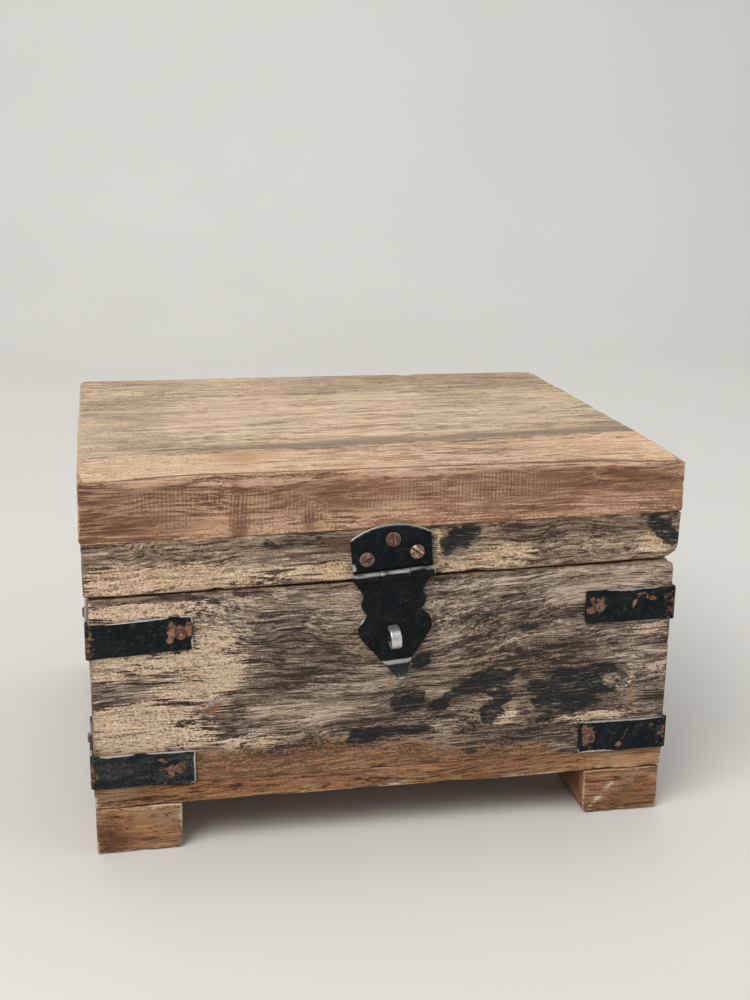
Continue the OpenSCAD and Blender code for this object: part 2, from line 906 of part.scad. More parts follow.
module box_hinge_screws() {
    color(iron_black) each_hinge_screw(-1) wood_screw(0);
}

top_plank_front();
top_plank_middle();
top_plank_back();
lid_front_rail();
lid_back_rail();
lid_left_rail();
lid_right_rail();
front_board();
back_board();
left_board();
right_board();
bottom_board();
front_left_foot();
front_right_foot();
back_left_foot();
back_right_foot();
front_left_strap_upper();
front_right_strap_upper();
back_left_strap_upper();
back_right_strap_upper();
front_left_strap_lower();
front_right_strap_lower();
back_left_strap_lower();
back_right_strap_lower();
strap_nails();
bottom_nails();
foot_nails();
hasp_plate();
hasp_leaf();
hasp_pin();
hasp_screws();
staple();
left_hinge_lid_leaf();
left_hinge_box_leaf();
left_hinge_pin();
right_hinge_lid_leaf();
right_hinge_box_leaf();
right_hinge_pin();
lid_hinge_screws();
box_hinge_screws();
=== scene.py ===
# %% [markdown]
# # A small footed box of reclaimed wood, with an iron hasp
# The box in the photograph is sawn together from old, weathered boards. Its charm is all in
# the surfaces: cracked grey grain, sanded patches the colour of sand, rests of black paint,
# a reddish sawn band on the lid, painted iron straps with rusty nails, and a bright little
# staple. This notebook dresses the imported model of the box in those surfaces.
# First the model is loaded as a fixed frame.

# %% Load the frame
import functools
import itertools
import math

import bpy
import numpy as np
from mathutils import Matrix, Vector, geometry


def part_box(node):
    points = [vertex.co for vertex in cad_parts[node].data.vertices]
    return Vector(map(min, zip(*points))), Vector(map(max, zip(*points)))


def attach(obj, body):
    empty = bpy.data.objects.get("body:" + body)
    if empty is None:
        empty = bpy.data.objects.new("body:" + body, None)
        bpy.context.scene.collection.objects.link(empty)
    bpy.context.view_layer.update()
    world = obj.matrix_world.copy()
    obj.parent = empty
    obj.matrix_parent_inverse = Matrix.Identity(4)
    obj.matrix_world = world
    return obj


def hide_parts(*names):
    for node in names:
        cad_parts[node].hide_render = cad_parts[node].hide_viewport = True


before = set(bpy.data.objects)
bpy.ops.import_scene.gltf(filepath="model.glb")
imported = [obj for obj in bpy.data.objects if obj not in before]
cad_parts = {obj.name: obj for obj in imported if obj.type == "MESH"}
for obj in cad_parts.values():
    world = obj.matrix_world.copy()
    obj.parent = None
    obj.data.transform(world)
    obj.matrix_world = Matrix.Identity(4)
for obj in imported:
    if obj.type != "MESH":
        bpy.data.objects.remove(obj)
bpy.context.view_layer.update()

MM = 0.001

# %% [markdown]
# ## The camera
# The photograph looks down at the box from the left of its middle, from a little over half a
# metre away. Its place and turn come from fitting the outline of the box, and the lens follows
# from a picture that is 1000 pixels high on 36 mm of sensor.

# %% The camera
CAMERA_AT = Vector((-115.6, -641.0, 296.4)) * MM
YAW, PITCH, ROLL = 0.1994, 0.2629, -0.0141
FOCAL_PIXELS, PICTURE_HEIGHT, SENSOR_HEIGHT = 1378.9, 1000, 36

look = Vector((math.sin(YAW) * math.cos(PITCH), math.cos(YAW) * math.cos(PITCH), -math.sin(PITCH)))
level_right = Vector((math.cos(YAW), -math.sin(YAW), 0))
level_down = look.cross(level_right)
image_right = math.cos(ROLL) * level_right + math.sin(ROLL) * level_down
image_up = math.sin(ROLL) * level_right - math.cos(ROLL) * level_down

camera = bpy.data.objects.new("camera", bpy.data.cameras.new("camera"))
camera.data.sensor_fit = "VERTICAL"
camera.data.sensor_height = SENSOR_HEIGHT
camera.data.lens = FOCAL_PIXELS * SENSOR_HEIGHT / PICTURE_HEIGHT
camera.data.clip_start = 0.01
turn = Matrix((image_right, image_up, -look)).transposed()
camera.matrix_world = Matrix.Translation(CAMERA_AT) @ turn.to_4x4()
bpy.context.scene.collection.objects.link(camera)
bpy.context.scene.camera = camera
print("lens", round(camera.data.lens, 2), "mm")

# %% [markdown]
# ## Building shader trees with few words
# Every finish below is a tree of shader nodes. Small helpers keep the trees readable: they
# add a node and fill or link its inputs, do sums, mix two colours and make soft steps.

# %% Helpers for shader trees
def plug(socket, value):
    """Puts a number, colour or another node's output on an input."""
    if isinstance(value, bpy.types.NodeSocket):
        socket.id_data.links.new(value, socket)
    else:
        if hasattr(socket.default_value, "__len__") and len(socket.default_value) == 4 and len(value) == 3:
            value = (*value, 1)
        socket.default_value = value


def add(tree, kind, inputs=(), **settings):
    """A node of that kind, with its settings and inputs. Inputs go by name or by place."""
    made = tree.nodes.new("ShaderNode" + kind)
    for name, value in settings.items():
        setattr(made, name, value)
    for key, value in (inputs.items() if isinstance(inputs, dict) else enumerate(inputs)):
        plug(made.inputs[key], value)
    return made


def tree_of(values):
    """The shader tree that the first linked one of some values stands in."""
    return next(value.id_data for value in values if isinstance(value, bpy.types.NodeSocket))


def sums(operation, *values):
    """One step of arithmetic on the outputs of nodes and on plain numbers."""
    return add(tree_of(values), "Math", values, operation=operation).outputs[0]


plus, minus, times, times_plus, larger, smaller = [
    functools.partial(sums, operation)
    for operation in ("ADD", "SUBTRACT", "MULTIPLY", "MULTIPLY_ADD", "MAXIMUM", "MINIMUM")]


def blend(share, first, second):
    """The colour between two colours, at a share from 0 to 1."""
    made = add(tree_of((share, first, second)), "Mix", data_type="RGBA", clamp_factor=True)
    for place, value in ((0, share), (6, first), (7, second)):
        plug(made.inputs[place], value)
    return made.outputs[2]


def ramp(value, low, high):
    """0 below low, 1 above high, and a soft step between."""
    inputs = (value, low, high, 0.0, 1.0)
    return add(value.id_data, "MapRange", inputs, interpolation_type="SMOOTHSTEP").outputs[0]


def mixed(*layers):
    """The sum of noises, each moved to a middle of 0 and weighed: (noise, weight)."""
    total = 0.0
    for noise, weight in layers:
        total = times_plus(minus(noise, 0.5), weight, total)
    return total


def fibres(place, long, wide, detail=3.0, roughness=0.6):
    """Noise drawn out along the first axis: its spots are that long and that wide, in millimetres."""
    tree = place.id_data
    scaled = add(tree, "VectorMath", (place, (1 / long, 1 / wide, 1 / wide)), operation="MULTIPLY")
    inputs = {"Vector": scaled.outputs[0], "Scale": 1.0, "Detail": detail, "Roughness": roughness}
    return add(tree, "TexNoise", inputs).outputs[0]


def attribute(tree, name, vector=False):
    """What the mesh carries under that name at each of its points."""
    return add(tree, "Attribute", attribute_name=name).outputs[1 if vector else 2]


def new_group(name, inputs, outputs):
    """An empty node group. Each input is (name, kind, first value), each output (name, kind)."""
    group = bpy.data.node_groups.new(name, "ShaderNodeTree")
    for title, kind, value in inputs:
        made = group.interface.new_socket(title, in_out="INPUT", socket_type="NodeSocket" + kind)
        if value is not None:
            made.default_value = (*value, 1) if kind == "Color" else value
    for title, kind in outputs:
        group.interface.new_socket(title, in_out="OUTPUT", socket_type="NodeSocket" + kind)
    enter = group.nodes.new("NodeGroupInput")
    leave = group.nodes.new("NodeGroupOutput")
    return group, enter.outputs, leave.inputs


def use_group(tree, group, inputs):
    """A node that stands for a group, with its inputs given by name."""
    made = tree.nodes.new("ShaderNodeGroup")
    made.node_tree = group
    for name, value in inputs.items():
        plug(made.inputs[name], value)
    return made.outputs


def new_material(name):
    """A material with its Principled shader, and the tree that they stand in."""
    material = bpy.data.materials.new(name)
    material.use_nodes = True
    tree = material.node_tree
    return material, tree, tree.nodes["Principled BSDF"]


def connect(shader, out, relief, specular):
    """Links a group's outputs to the Principled shader, with its height as relief in millimetres."""
    for title, socket in (("Color", "Base Color"), ("Roughness", "Roughness"), ("Metallic", "Metallic")):
        if title in out:
            plug(shader.inputs[socket], out[title])
    bump = add(shader.id_data, "Bump", {"Height": out["Height"], "Distance": relief * MM, "Strength": 1.0})
    plug(shader.inputs["Normal"], bump.outputs[0])
    shader.inputs["Specular IOR Level"].default_value = specular


print("shader helpers ready")

# %% [markdown]
# ## The floor and the light
# The box stands on a plain pale floor that curves up behind it into a wall, as the paper
# sweep of a photo studio does, so no horizon cuts the picture. The light is that of a bright
# room: one large soft source high in front on the left, as from a window, a weak one on the
# right that opens the shadows, one for the wall alone, and an even pale surrounding.

# %% The floor
SWEEP_FROM, SWEEP_R, HALF_FLOOR, WALL_TOP = 1.1, 0.9, 5.0, 5.0
turned = np.linspace(0, math.pi / 2, 25)
curve = zip(SWEEP_FROM + SWEEP_R * np.sin(turned), SWEEP_R - SWEEP_R * np.cos(turned))
profile = [(-HALF_FLOOR, 0.0), *curve, (SWEEP_FROM + SWEEP_R, WALL_TOP)]
floor_mesh = bpy.data.meshes.new("floor")
floor_mesh.from_pydata(
    [(side * HALF_FLOOR, y, z) for y, z in profile for side in (-1, 1)], [],
    [(2 * i, 2 * i + 1, 2 * i + 3, 2 * i + 2) for i in range(len(profile) - 1)])
floor_mesh.polygons.foreach_set("use_smooth", np.ones(len(profile) - 1, bool))
floor = bpy.data.objects.new("floor", floor_mesh)
bpy.context.scene.collection.objects.link(floor)
paper, tree, shader = new_material("pale_paper")
place = add(tree, "TexCoord").outputs["Object"]
cloudy = add(tree, "TexNoise", {"Vector": place, "Scale": 3.0, "Detail": 2.0})
plug(shader.inputs["Base Color"], blend(cloudy.outputs[0], (0.64, 0.63, 0.60), (0.69, 0.68, 0.65)))
shader.inputs["Roughness"].default_value = 0.75
floor_mesh.materials.append(paper)
print("floor", round(2 * HALF_FLOOR), "m wide")

# %% The light
def soft_light(name, size, power, at, toward, colour):
    """A square lamp at a place, facing another."""
    lamp = bpy.data.lights.new(name, "AREA")
    lamp.size, lamp.energy, lamp.color = size, power, colour
    made = bpy.data.objects.new(name, lamp)
    made.location = at
    made.rotation_euler = (Vector(toward) - Vector(at)).to_track_quat("-Z", "Y").to_euler()
    bpy.context.scene.collection.objects.link(made)
    return made


soft_light("window", 1.1, 26, (-0.9, -0.9, 1.5), (0, 0, 0.08), (1.0, 0.985, 0.96))
soft_light("room", 1.6, 7, (1.5, -0.6, 0.9), (0, 0, 0.08), (0.93, 0.96, 1.0))
soft_light("wall", 2.0, 20, (0.2, 0.9, 2.3), (0.2, 2.0, 0.7), (1.0, 0.995, 0.98))
world = bpy.data.worlds.new("pale_room")
world.use_nodes = True
world.node_tree.nodes["Background"].inputs["Color"].default_value = (0.66, 0.66, 0.65, 1)
world.node_tree.nodes["Background"].inputs["Strength"].default_value = 0.6
bpy.context.scene.world = world
bpy.context.scene.view_settings.view_transform = "Standard"

# %% [markdown]
# ## Random heights that follow a rule
# Weather and wear look random, yet each rebuild of the box has to be the same. So the
# unevenness comes from a sum that mixes the whole numbers round a point into a height:
# the same point always gives the same height. Several sizes of it laid over each other
# make a surface that looks worn and not bumpy.

# %% Random heights
MIXERS = np.array([0x9E3779B97F4A7C15, 0xC2B2AE3D27D4EB4F, 0x165667B19E3779F9], np.uint64)


def bumps(points, seed):
    """Smooth heights from 0 to 1 at points, with about one bump to each unit of length."""
    cell = np.floor(points).astype(np.int64)
    part = points - cell
    part = part * part * (3 - 2 * part)
    total = 0
    for corner in itertools.product((0, 1), repeat=points.shape[1]):
        stirred = np.full(len(points), seed * 7919 + 17, np.uint64)
        share = 1
        for axis, step in enumerate(corner):
            stirred = (stirred ^ (cell[:, axis] + step).astype(np.uint64)) * MIXERS[axis]
            stirred ^= stirred >> np.uint64(29)
            share = share * (part[:, axis] if step else 1 - part[:, axis])
        stirred *= MIXERS[0]
        total = total + share * ((stirred >> np.uint64(11)).astype(float) / 2**53)
    return total


def rough(points, seed, layers=3):
    """Bumps of several sizes, each half as wide and half as high as the one before."""
    heights = [bumps(points * 2**i, seed + i) / 2**i for i in range(layers)]
    return sum(heights) / (2 - 2 / 2**layers)


def step(value, low, high):
    """0 below low, 1 above high, and a soft step between."""
    part = np.clip((value - low) / (high - low), 0, 1)
    return part * part * (3 - 2 * part)


print("bumps at three points:", np.round(bumps(np.array([[0.5, 0.2, 0.1], [3, 1, 4], [7, 7, 7.5]]), 1), 3))

# %% [markdown]
# ## Where the boards lie
# The box was glued up closed and sawn apart on a slanted line, and the planks of the lid are
# wedges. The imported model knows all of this, so the lines are read off its nodes: the top of
# the front board gives the saw line, the rail above it gives the seam under the planks, and
# the middle plank gives the two seams that are seen from above.

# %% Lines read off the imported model
def corners_of(node):
    """The points of a CAD node in millimetres."""
    return np.array([v.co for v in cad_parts[node].data.vertices], float) / MM


def line_along_x(node, axis, end):
    """The line on which one side of a node runs, low side with end=-1 and high side with end=1."""
    at = corners_of(node)
    left = at[at[:, 0] < at[:, 0].min() + 0.05]
    first = end * (end * left[:, axis]).max()
    far = at[at[:, 0] > at[:, 0].min() + 100]
    slopes = (far[:, axis] - first) / (far[:, 0] - at[:, 0].min())
    slope = end * (end * slopes).max()
    start = at[:, 0].min()
    return lambda x: first + slope * (x - start)


def level(value):
    """A line that keeps one height or depth along the whole box."""
    return lambda x: value + 0 * x


def low_high(node):
    """The two corners of a node's box in millimetres."""
    return [np.array(corner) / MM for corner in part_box(node)]


def rim_bottom(x):
    """The under side of the rim: the width of the saw cut above the walls."""
    return wall_top(x) + SAW_CUT


(LEFT, FRONT, FLOOR_UP), (RIGHT, _, _) = low_high("front_board")
BACK = low_high("back_board")[1][1]
WALL = low_high("front_board")[1][1] - FRONT
TOP = low_high("top_plank_middle")[1][2]
BASE = low_high("bottom_board")[0][2]
PLANK_LEFT, PLANK_RIGHT = low_high("top_plank_middle")[0][0], low_high("top_plank_middle")[1][0]
wall_top = line_along_x("front_board", 2, 1)
SAW_CUT = float(low_high("lid_left_rail")[0][2] - wall_top(LEFT))
seam = line_along_x("top_plank_middle", 2, -1)
front_seam = line_along_x("top_plank_middle", 1, -1)
back_seam = line_along_x("top_plank_middle", 1, 1)
lines = {"saw line": wall_top, "seam": seam, "front seam": front_seam, "back seam": back_seam}
for title, line in lines.items():
    print(title, "from", round(float(line(PLANK_LEFT)), 2), "to", round(float(line(PLANK_RIGHT)), 2))

# %% [markdown]
# ## A board with weather in it
# A plain block can't pass for old wood: its edges are worn unevenly, chips are out of them,
# and between the hard fibres the weather has eaten grooves. Each board is therefore ruled
# with fine lines like a block of squared paper. Its edges are rounded by moving the points
# near them, then every point sinks inwards as deep as the weather has eaten there, and last
# the block is stretched to the eight corners that the model gives. All wear goes inwards,
# so the board stays in the room that it has in the model. Real relief was chosen instead
# of bump alone because the raking light shows it at the edges and in the open grain.

# %% The skin of a block
def block_skin(lines):
    """The points on the skin of a block ruled by three lists of numbers, and its outward quads."""
    shape = [len(line) for line in lines]
    skin = np.ones(shape, bool)
    skin[1:-1, 1:-1, 1:-1] = False
    number = np.full(shape, -1)
    number[skin] = np.arange(skin.sum())
    points = np.stack(np.meshgrid(*lines, indexing="ij"), -1)[skin]
    quads = []
    for axis in range(3):
        for end in (0, -1):
            side = np.take(number, end, axis)
            quad = np.stack([side[:-1, :-1], side[1:, :-1], side[1:, 1:], side[:-1, 1:]], -1).reshape(-1, 4)
            quads.append(quad[:, ::-1] if (end == 0) ^ (axis == 1) else quad)
    return points, np.concatenate(quads)


def ruled(length, spacing, edge):
    """Numbers from 0 to a length, closer together in a strip along both edges."""
    near = np.linspace(0, edge, 5)[:-1]
    count = max(2, round((length - 2 * edge) / spacing) + 1)
    return np.concatenate([near, np.linspace(edge, length - edge, count), length - near[::-1]])


def round_edge(points, size, axes, ends, radius):
    """Rounds one edge of a block in place: the square corner strip is squeezed into a quarter disc."""
    a, b = axes
    depth_a = points[:, a] if ends[0] < 0 else size[a] - points[:, a]
    depth_b = points[:, b] if ends[1] < 0 else size[b] - points[:, b]
    near = (depth_a < radius) & (depth_b < radius)
    p, q = np.clip(1 - depth_a / radius, 0, 1), np.clip(1 - depth_b / radius, 0, 1)
    new_p, new_q = p * np.sqrt(1 - q * q / 2), q * np.sqrt(1 - p * p / 2)
    for axis, end, value in ((a, ends[0], new_p), (b, ends[1], new_q)):
        moved = (1 - value) * radius
        points[near, axis] = (moved if end < 0 else size[axis] - moved)[near]


demo_points, demo_quads = block_skin([ruled(20, 4, 1), ruled(10, 4, 1), ruled(5, 4, 1)])
print("a test block has", len(demo_points), "points and", len(demo_quads), "quads")

# %% Grooves that the weather has eaten
def weather(grain, seed):
    """Depth of the grooves from 0 to 1, at points in millimetres along and across the grain."""
    years = rough(grain / (75, 4.2, 4.2), seed + 11, 3)
    strokes = rough(grain / (20, 1.05, 1.05), seed + 21, 3)
    cracks = np.abs(bumps(grain / (42, 3.4, 3.4), seed + 31) - 0.5)
    groove = step(strokes + 0.4 * (years - 0.5), 0.57, 0.80)
    return np.maximum(groove, 0.95 * step(0.035 - cracks, 0, 0.03) * step(years, 0.45, 0.6))


def swerve(points, seed, amount):
    """The same points, with the fibres that run through them bent as they grew."""
    wide = rough(points / (70, 26, 26), seed + 1, 2) - 0.5
    small = bumps(points / (17, 9, 9), seed + 5) - 0.5
    bend = amount * (11 * wide + 3.0 * small)
    return np.stack([points[:, 0], points[:, 1] + bend, points[:, 2] + bend], -1)


test_points = np.random.default_rng(1).random((4000, 3)) * 80
print("share of grooved wood:", round(float(weather(test_points, 3).mean()), 2))

# %% Putting a piece into the scene
def keep_value(mesh, name, values):
    """Keeps a number at each point of a mesh."""
    kept = mesh.attributes.new(name, "FLOAT", "POINT")
    kept.data.foreach_set("value", np.asarray(values, np.float32))


def keep_vector(mesh, name, values):
    """Keeps three numbers at each point of a mesh."""
    kept = mesh.attributes.new(name, "FLOAT_VECTOR", "POINT")
    kept.data.foreach_set("vector", np.asarray(values, np.float32).ravel())


def new_piece(node, ending, body, points, faces, place, masks):
    """A smooth piece from points in millimetres. It carries a place for its noise and its masks,
    rides on a body and hides its CAD node."""
    mesh = bpy.data.meshes.new(node + ending)
    mesh.from_pydata((points * MM).tolist(), [], faces)
    mesh.polygons.foreach_set("use_smooth", np.ones(len(faces), bool))
    keep_vector(mesh, *place)
    for title, values in masks.items():
        keep_value(mesh, title, values)
    piece = bpy.data.objects.new(node + ending, mesh)
    bpy.context.scene.collection.objects.link(piece)
    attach(piece, body)
    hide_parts(node)
    return piece


def stretch(corners, share):
    """Points at shares from 0 to 1 of a block, between its eight corners."""
    total = 0
    for ends in itertools.product((0, 1), repeat=3):
        weight = 1
        for axis, end in enumerate(ends):
            weight = weight * (share[:, axis] if end else 1 - share[:, axis])
        total = total + weight[:, None] * corners[ends]
    return total


def corner_grid(x_ends, y_lines, z_lines):
    """The eight corners of a board: X at its ends, and lines in Y and Z that depend on X."""
    return np.array([[[(x, y(x), z(x)) for z in z_lines] for y in y_lines] for x in x_ends], float)


print("piece helpers ready")

# %% The board builder
FACES = {"left": (0, -1), "right": (0, 1), "front": (1, -1), "back": (1, 1), "under": (2, -1), "top": (2, 1)}
EDGE_STRIP, TIGHT = 1.6, 0.6


def wear_edges(points, size, radius, special, seed):
    """Rounds the twelve edges of a block in place, unevenly unless an edge has a wear of its own.
    Gives 1 where the block is open to the weather and 0 along the edges that lie tight."""
    square = points.copy()
    open_to_wear = 1.0
    for a, b in ((1, 2), (0, 2), (0, 1)):
        run = 3 - a - b
        for ends in itertools.product((-1, 1), repeat=2):
            wear = special.get(frozenset([(a, ends[0]), (b, ends[1])]), radius)
            shift_a = np.full(len(square), 3.7 * a + ends[0])
            shift_b = np.full(len(square), 2.3 * b + ends[1])
            place = np.stack([square[:, run] / 16, shift_a, shift_b], -1)
            uneven = 0.5 + 0.9 * rough(place, seed + 40, 2) if wear == radius else 1.0
            round_edge(points, size, (a, b), ends, np.minimum(wear * uneven, size[[a, b]].min() / 2))
            if wear < TIGHT:
                off = [square[:, axis] if end < 0 else size[axis] - square[:, axis]
                       for axis, end in zip((a, b), ends)]
                open_to_wear = open_to_wear * (1 - np.exp(-(off[0] ** 2 + off[1] ** 2) / 12))
    return open_to_wear


def smooth_normals(points, quads):
    """The direction that the skin faces at each point."""
    mesh = bpy.data.meshes.new("skin")
    mesh.from_pydata(points.tolist(), [], quads.tolist())
    normals = np.zeros(len(points) * 3, np.float32)
    mesh.vertex_normals.foreach_get("vector", normals)
    bpy.data.meshes.remove(mesh)
    return normals.reshape(-1, 3)


def make_board(name, body, corners, seed, marks, spacing, along="x", radius=1.2, worn=None,
               groove=0.45, amount=1.0, flow=None, chips=1.0):
    """Builds a board in a body from its eight corners, and hides the CAD node of the same name.

    marks is a rule that adds masks and depths; spacing is the distance of the ruled lines on the
    board's own three axes, the first along its fibres; worn gives edges with a wear of their own,
    each named by its two faces, and an edge below TIGHT lies tight against its neighbour; groove
    is the depth of the weather, amount that of the bends in the fibres, and flow a rule that
    bends them too."""
    own_axis = [0, 1, 2]
    if along == "y":
        corners = corners.transpose(1, 0, 2, 3)
        own_axis = [1, 0, 2]
    edges = [corners[1] - corners[0], corners[:, 1] - corners[:, 0], corners[:, :, 1] - corners[:, :, 0]]
    size = np.array([np.linalg.norm(edge, axis=-1).mean() for edge in edges])
    points, quads = block_skin([ruled(size[i], spacing[i], min(EDGE_STRIP, size[i] / 5)) for i in range(3)])
    square = points.copy()
    special = {}
    for edge, wear in (worn or {}).items():
        faces = [FACES[face] for face in edge.split()]
        special[frozenset((own_axis.index(axis), end) for axis, end in faces)] = wear
    open_to_wear = wear_edges(points, size, radius, special, seed)

    # the two smallest depths below the faces tell how near a point is to an edge
    depths = np.sort(np.minimum(square, size - square), axis=1)
    near_edge = np.exp(-depths[:, 1] / 2.2) * open_to_wear
    normals = smooth_normals(points, quads)
    end_grain = step(np.abs(normals[:, 0]), 0.5, 0.9)
    at_end = np.exp(-np.minimum(square[:, 0], size[0] - square[:, 0]) / 2.5)

    world = stretch(corners, points / size)
    grain = swerve(points, seed, amount)
    if flow:
        grain[:, 1:] += flow(world)[:, None]
    thin, broad = (1, 2) if size[1] < size[2] else (2, 1)
    heart_off = 20 + 3 * (seed % 5)
    heart_at = size[broad] * (0.3 + 0.1 * (seed % 4))
    chip = step(rough(points / (9, 3, 3), seed + 60, 2), 0.56, 0.72) * near_edge * chips
    wave = 0.5 * rough(points / (45, 22, 22), seed + 70, 2)
    masks = {"groove": weather(grain, seed) * (1 - 0.9 * end_grain), "edge": near_edge,
             "chip": chip * (1 - 0.6 * at_end), "end": end_grain,
             "ring": np.hypot(grain[:, thin] + heart_off, grain[:, broad] - heart_at)}
    depth = groove * masks["groove"] + 1.1 * masks["chip"] + wave * (0.3 + 0.7 * open_to_wear)
    extra, more = marks(world, normals[:, np.argsort(own_axis)])
    depth = depth + extra
    for title in ("groove", "edge"):
        more[title] = np.maximum(masks[title], more.get(title, 0))
    masks.update(more)
    sunk = points - normals * np.minimum(depth, size.min() * 0.3)[:, None]

    if np.linalg.det(np.array([edge.reshape(-1, 3).mean(0) for edge in edges])) < 0:
        quads = quads[:, ::-1]
    place = ("grain", grain + 137.0 * (seed % 11))
    return new_piece(name, "_wood", body, stretch(corners, sunk / size), quads.tolist(), place, masks)


print("board builder ready")

# %% [markdown]
# ## Old wood as one node group
# All the wood here is the same kind of surface with other colours: fibres along the grain,
# dark strokes where the soft wood is gone, darkened partly as painted shade in the cracks,
# patches sanded down to a speckled sand colour, stains, rests of paint, and edges rubbed
# light. So it is one node group, and each board puts its own colours into it. The group reads
# the mesh: where the fibres run, how deep the grooves are, whose colour it darkens partly as
# painted shade, how near an edge is, and how far inside a patch a point lies. It makes the
# borders of the patches ragged along the fibres, as paint and sanding leave them.

# %% The old wood group
COLOUR_INPUTS = ["Dark", "Mid", "Light", "Sand Color", "Paint Color", "Stain Color", "Edge Color"]
MASKS = ["groove", "edge", "chip", "sand", "paint", "stain", "pale", "sawn", "end", "ring"]
group_inputs = [("Grain", "Vector", None)]
group_inputs += [(name.title(), "Float", 0.0) for name in MASKS]
group_inputs += [(name, "Color", (0.2, 0.15, 0.1)) for name in COLOUR_INPUTS]
group_inputs += [("Contrast", "Float", 1.0), ("Strokes", "Float", 0.8)]
group_inputs += [("Grooves", "Float", 0.45), ("Sand Cover", "Float", 1.0)]
group_outputs = [("Color", "Color"), ("Roughness", "Float"), ("Height", "Float")]
old_wood, given, result = new_group("old_wood", group_inputs, group_outputs)

grain = given["Grain"]
growth = fibres(grain, 70, 3.4, 2.0)
strand = fibres(grain, 24, 1.0, 2.0)
hair = fibres(grain, 9.0, 0.5, 2.0, 0.65)
vein = fibres(grain, 24, 1.9, 1.0, 0.4)
grit = fibres(grain, 0.95, 0.7, 2.0)
cloud = fibres(grain, 38, 15, 2.0)
blotch = fibres(grain, 9.0, 4.0, 3.0, 0.6)

# bare weathered wood: dark where it is eaten away, light on the hard fibres
tone = mixed((growth, 1.3), (strand, 1.6), (hair, 1.9), (cloud, 0.6), (grit, 1.0))
tone = times_plus(tone, given["Contrast"], times_plus(given["Pale"], 0.16, 0.52))
mid = blend(ramp(cloud, 0.45, 0.7), given["Mid"], blend(0.5, given["Sand Color"], given["Dark"]))
colour = blend(ramp(tone, 0.08, 0.46), given["Dark"], mid)
colour = blend(ramp(tone, 0.48, 0.96), colour, given["Light"])

# dark strokes: partly the grey of eaten soft wood, partly painted shade that stands in for the shadow inside
# the cracks
crack = ramp(sums("ABSOLUTE", mixed((vein, 1.0), (grit, 0.05))), 0.026, 0.008)
crack = times(crack, ramp(mixed((strand, 0.7), (growth, 1.0)), -0.04, 0.04))
gap = ramp(mixed((strand, 1.2), (hair, 0.9), (growth, -0.5)), 0.20, 0.34)
stroke = times(larger(crack, gap), given["Strokes"])
colour = blend(stroke, colour, given["Dark"])

# sanded down to a speckled sand colour
sand = plus(given["Sand"], mixed((hair, 1.2), (strand, 2.2), (grit, 0.8), (cloud, 1.2)))
sand = times(ramp(sand, -0.14, 0.22), given["Sand Cover"])
speckle = mixed((grit, 1.7), (hair, 0.9), (strand, 0.9))
deep_sand = blend(0.74, given["Sand Color"], given["Dark"])
sand_tone = blend(ramp(speckle, -0.36, 0.04), deep_sand, given["Sand Color"])
sand_tone = blend(ramp(speckle, 0.02, 0.4), sand_tone, blend(0.55, sand_tone, (1.0, 0.88, 0.74)))
colour = blend(sand, colour, sand_tone)

# stains soak into bare and sanded wood alike, and their border is speckled
stain = ramp(plus(given["Stain"], mixed((hair, 0.7), (grit, 2.6), (cloud, 1.4))), -0.3, 0.4)
stain_tone = ramp(plus(tone, mixed((grit, 1.6), (blotch, 0.9))), 0.12, 0.72)
stain_tone = blend(stain_tone, blend(0.62, given["Stain Color"], given["Dark"]), given["Stain Color"])
colour = blend(times(stain, 0.88), colour, stain_tone)

# darker in the modelled weather grooves, less where sanded: partly the dark of eaten wood, partly painted
# shade in the grooves
groove = times(given["Groove"], times_plus(sand, -0.6, 1.0))
groove = ramp(plus(groove, mixed((hair, 0.6), (grit, 0.5))), 0.35, 0.75)
colour = blend(times(groove, given["Grooves"]), colour, given["Dark"])

# marks of the saw stand across the grain
COARSE_SAW, FINE_SAW, YEAR = 1.6, 0.95, 2.6
along = add(old_wood, "SeparateXYZ", [grain]).outputs[0]
bent = times(mixed((cloud, 1.0), (growth, 0.3)), 9.0)
coarse = ramp(sums("SINE", times_plus(along, 2 * math.pi / COARSE_SAW, bent)), 0.1, 1.0)
small = ramp(sums("SINE", times_plus(along, 2 * math.pi / FINE_SAW, bent)), 0.0, 1.0)
saw = larger(coarse, times(small, 0.6))
saw = times(saw, ramp(plus(given["Sawn"], mixed((cloud, 2.0))), -0.1, 0.6))
saw = times(saw, ramp(mixed((grit, 1.2), (hair, 1.4), (strand, 0.8)), -0.25, 0.2))
colour = blend(times(saw, 0.7), colour, given["Edge Color"])

# the ends show the years as rings round the heart of the tree
uneven = times(mixed((cloud, 1.0), (growth, 0.25)), 7.0)
year = sums("SINE", times_plus(given["Ring"], 2 * math.pi / YEAR, uneven))
late = times(ramp(year, -0.2, 1.0), ramp(mixed((grit, 0.9), (strand, 0.8)), -0.35, 0.15))
late = times(times(late, given["End"]), 0.62)
colour = blend(late, colour, blend(0.3, given["Dark"], given["Mid"]))

# edges and chips are rubbed to a lighter colour
rubbed = ramp(plus(given["Edge"], mixed((hair, 1.4), (cloud, 1.6), (grit, 0.6))), 0.6, 1.1)
rubbed = larger(times(rubbed, 0.85), times(given["Chip"], 0.6))
colour = blend(rubbed, colour, given["Edge Color"])

# paint stays on the high fibres first, and thins out along the grain
paint = times_plus(given["Paint"], 2.0, mixed((blotch, 4.2), (hair, 1.2), (strand, 1.5), (grit, 0.8)))
paint = ramp(paint, 0.10, 0.26)
cover = ramp(mixed((hair, 1.0), (strand, 0.8), (grit, 0.4)), 0.30, 0.06)
colour = blend(times(paint, times_plus(cover, 0.45, 0.5)), colour, given["Paint Color"])
plug(result["Color"], colour)

dull = times_plus(hair, -0.2, 0.86)
plug(result["Roughness"], minus(dull, times(paint, 0.22)))
height = plus(mixed((hair, 1.0), (strand, 0.9)), times(grit, times_plus(sand, 0.8, 0.4)))
height = minus(height, times(stroke, 0.5))
plug(result["Height"], plus(height, times(saw, 0.2)))
print("old wood group:", len(old_wood.nodes), "nodes")


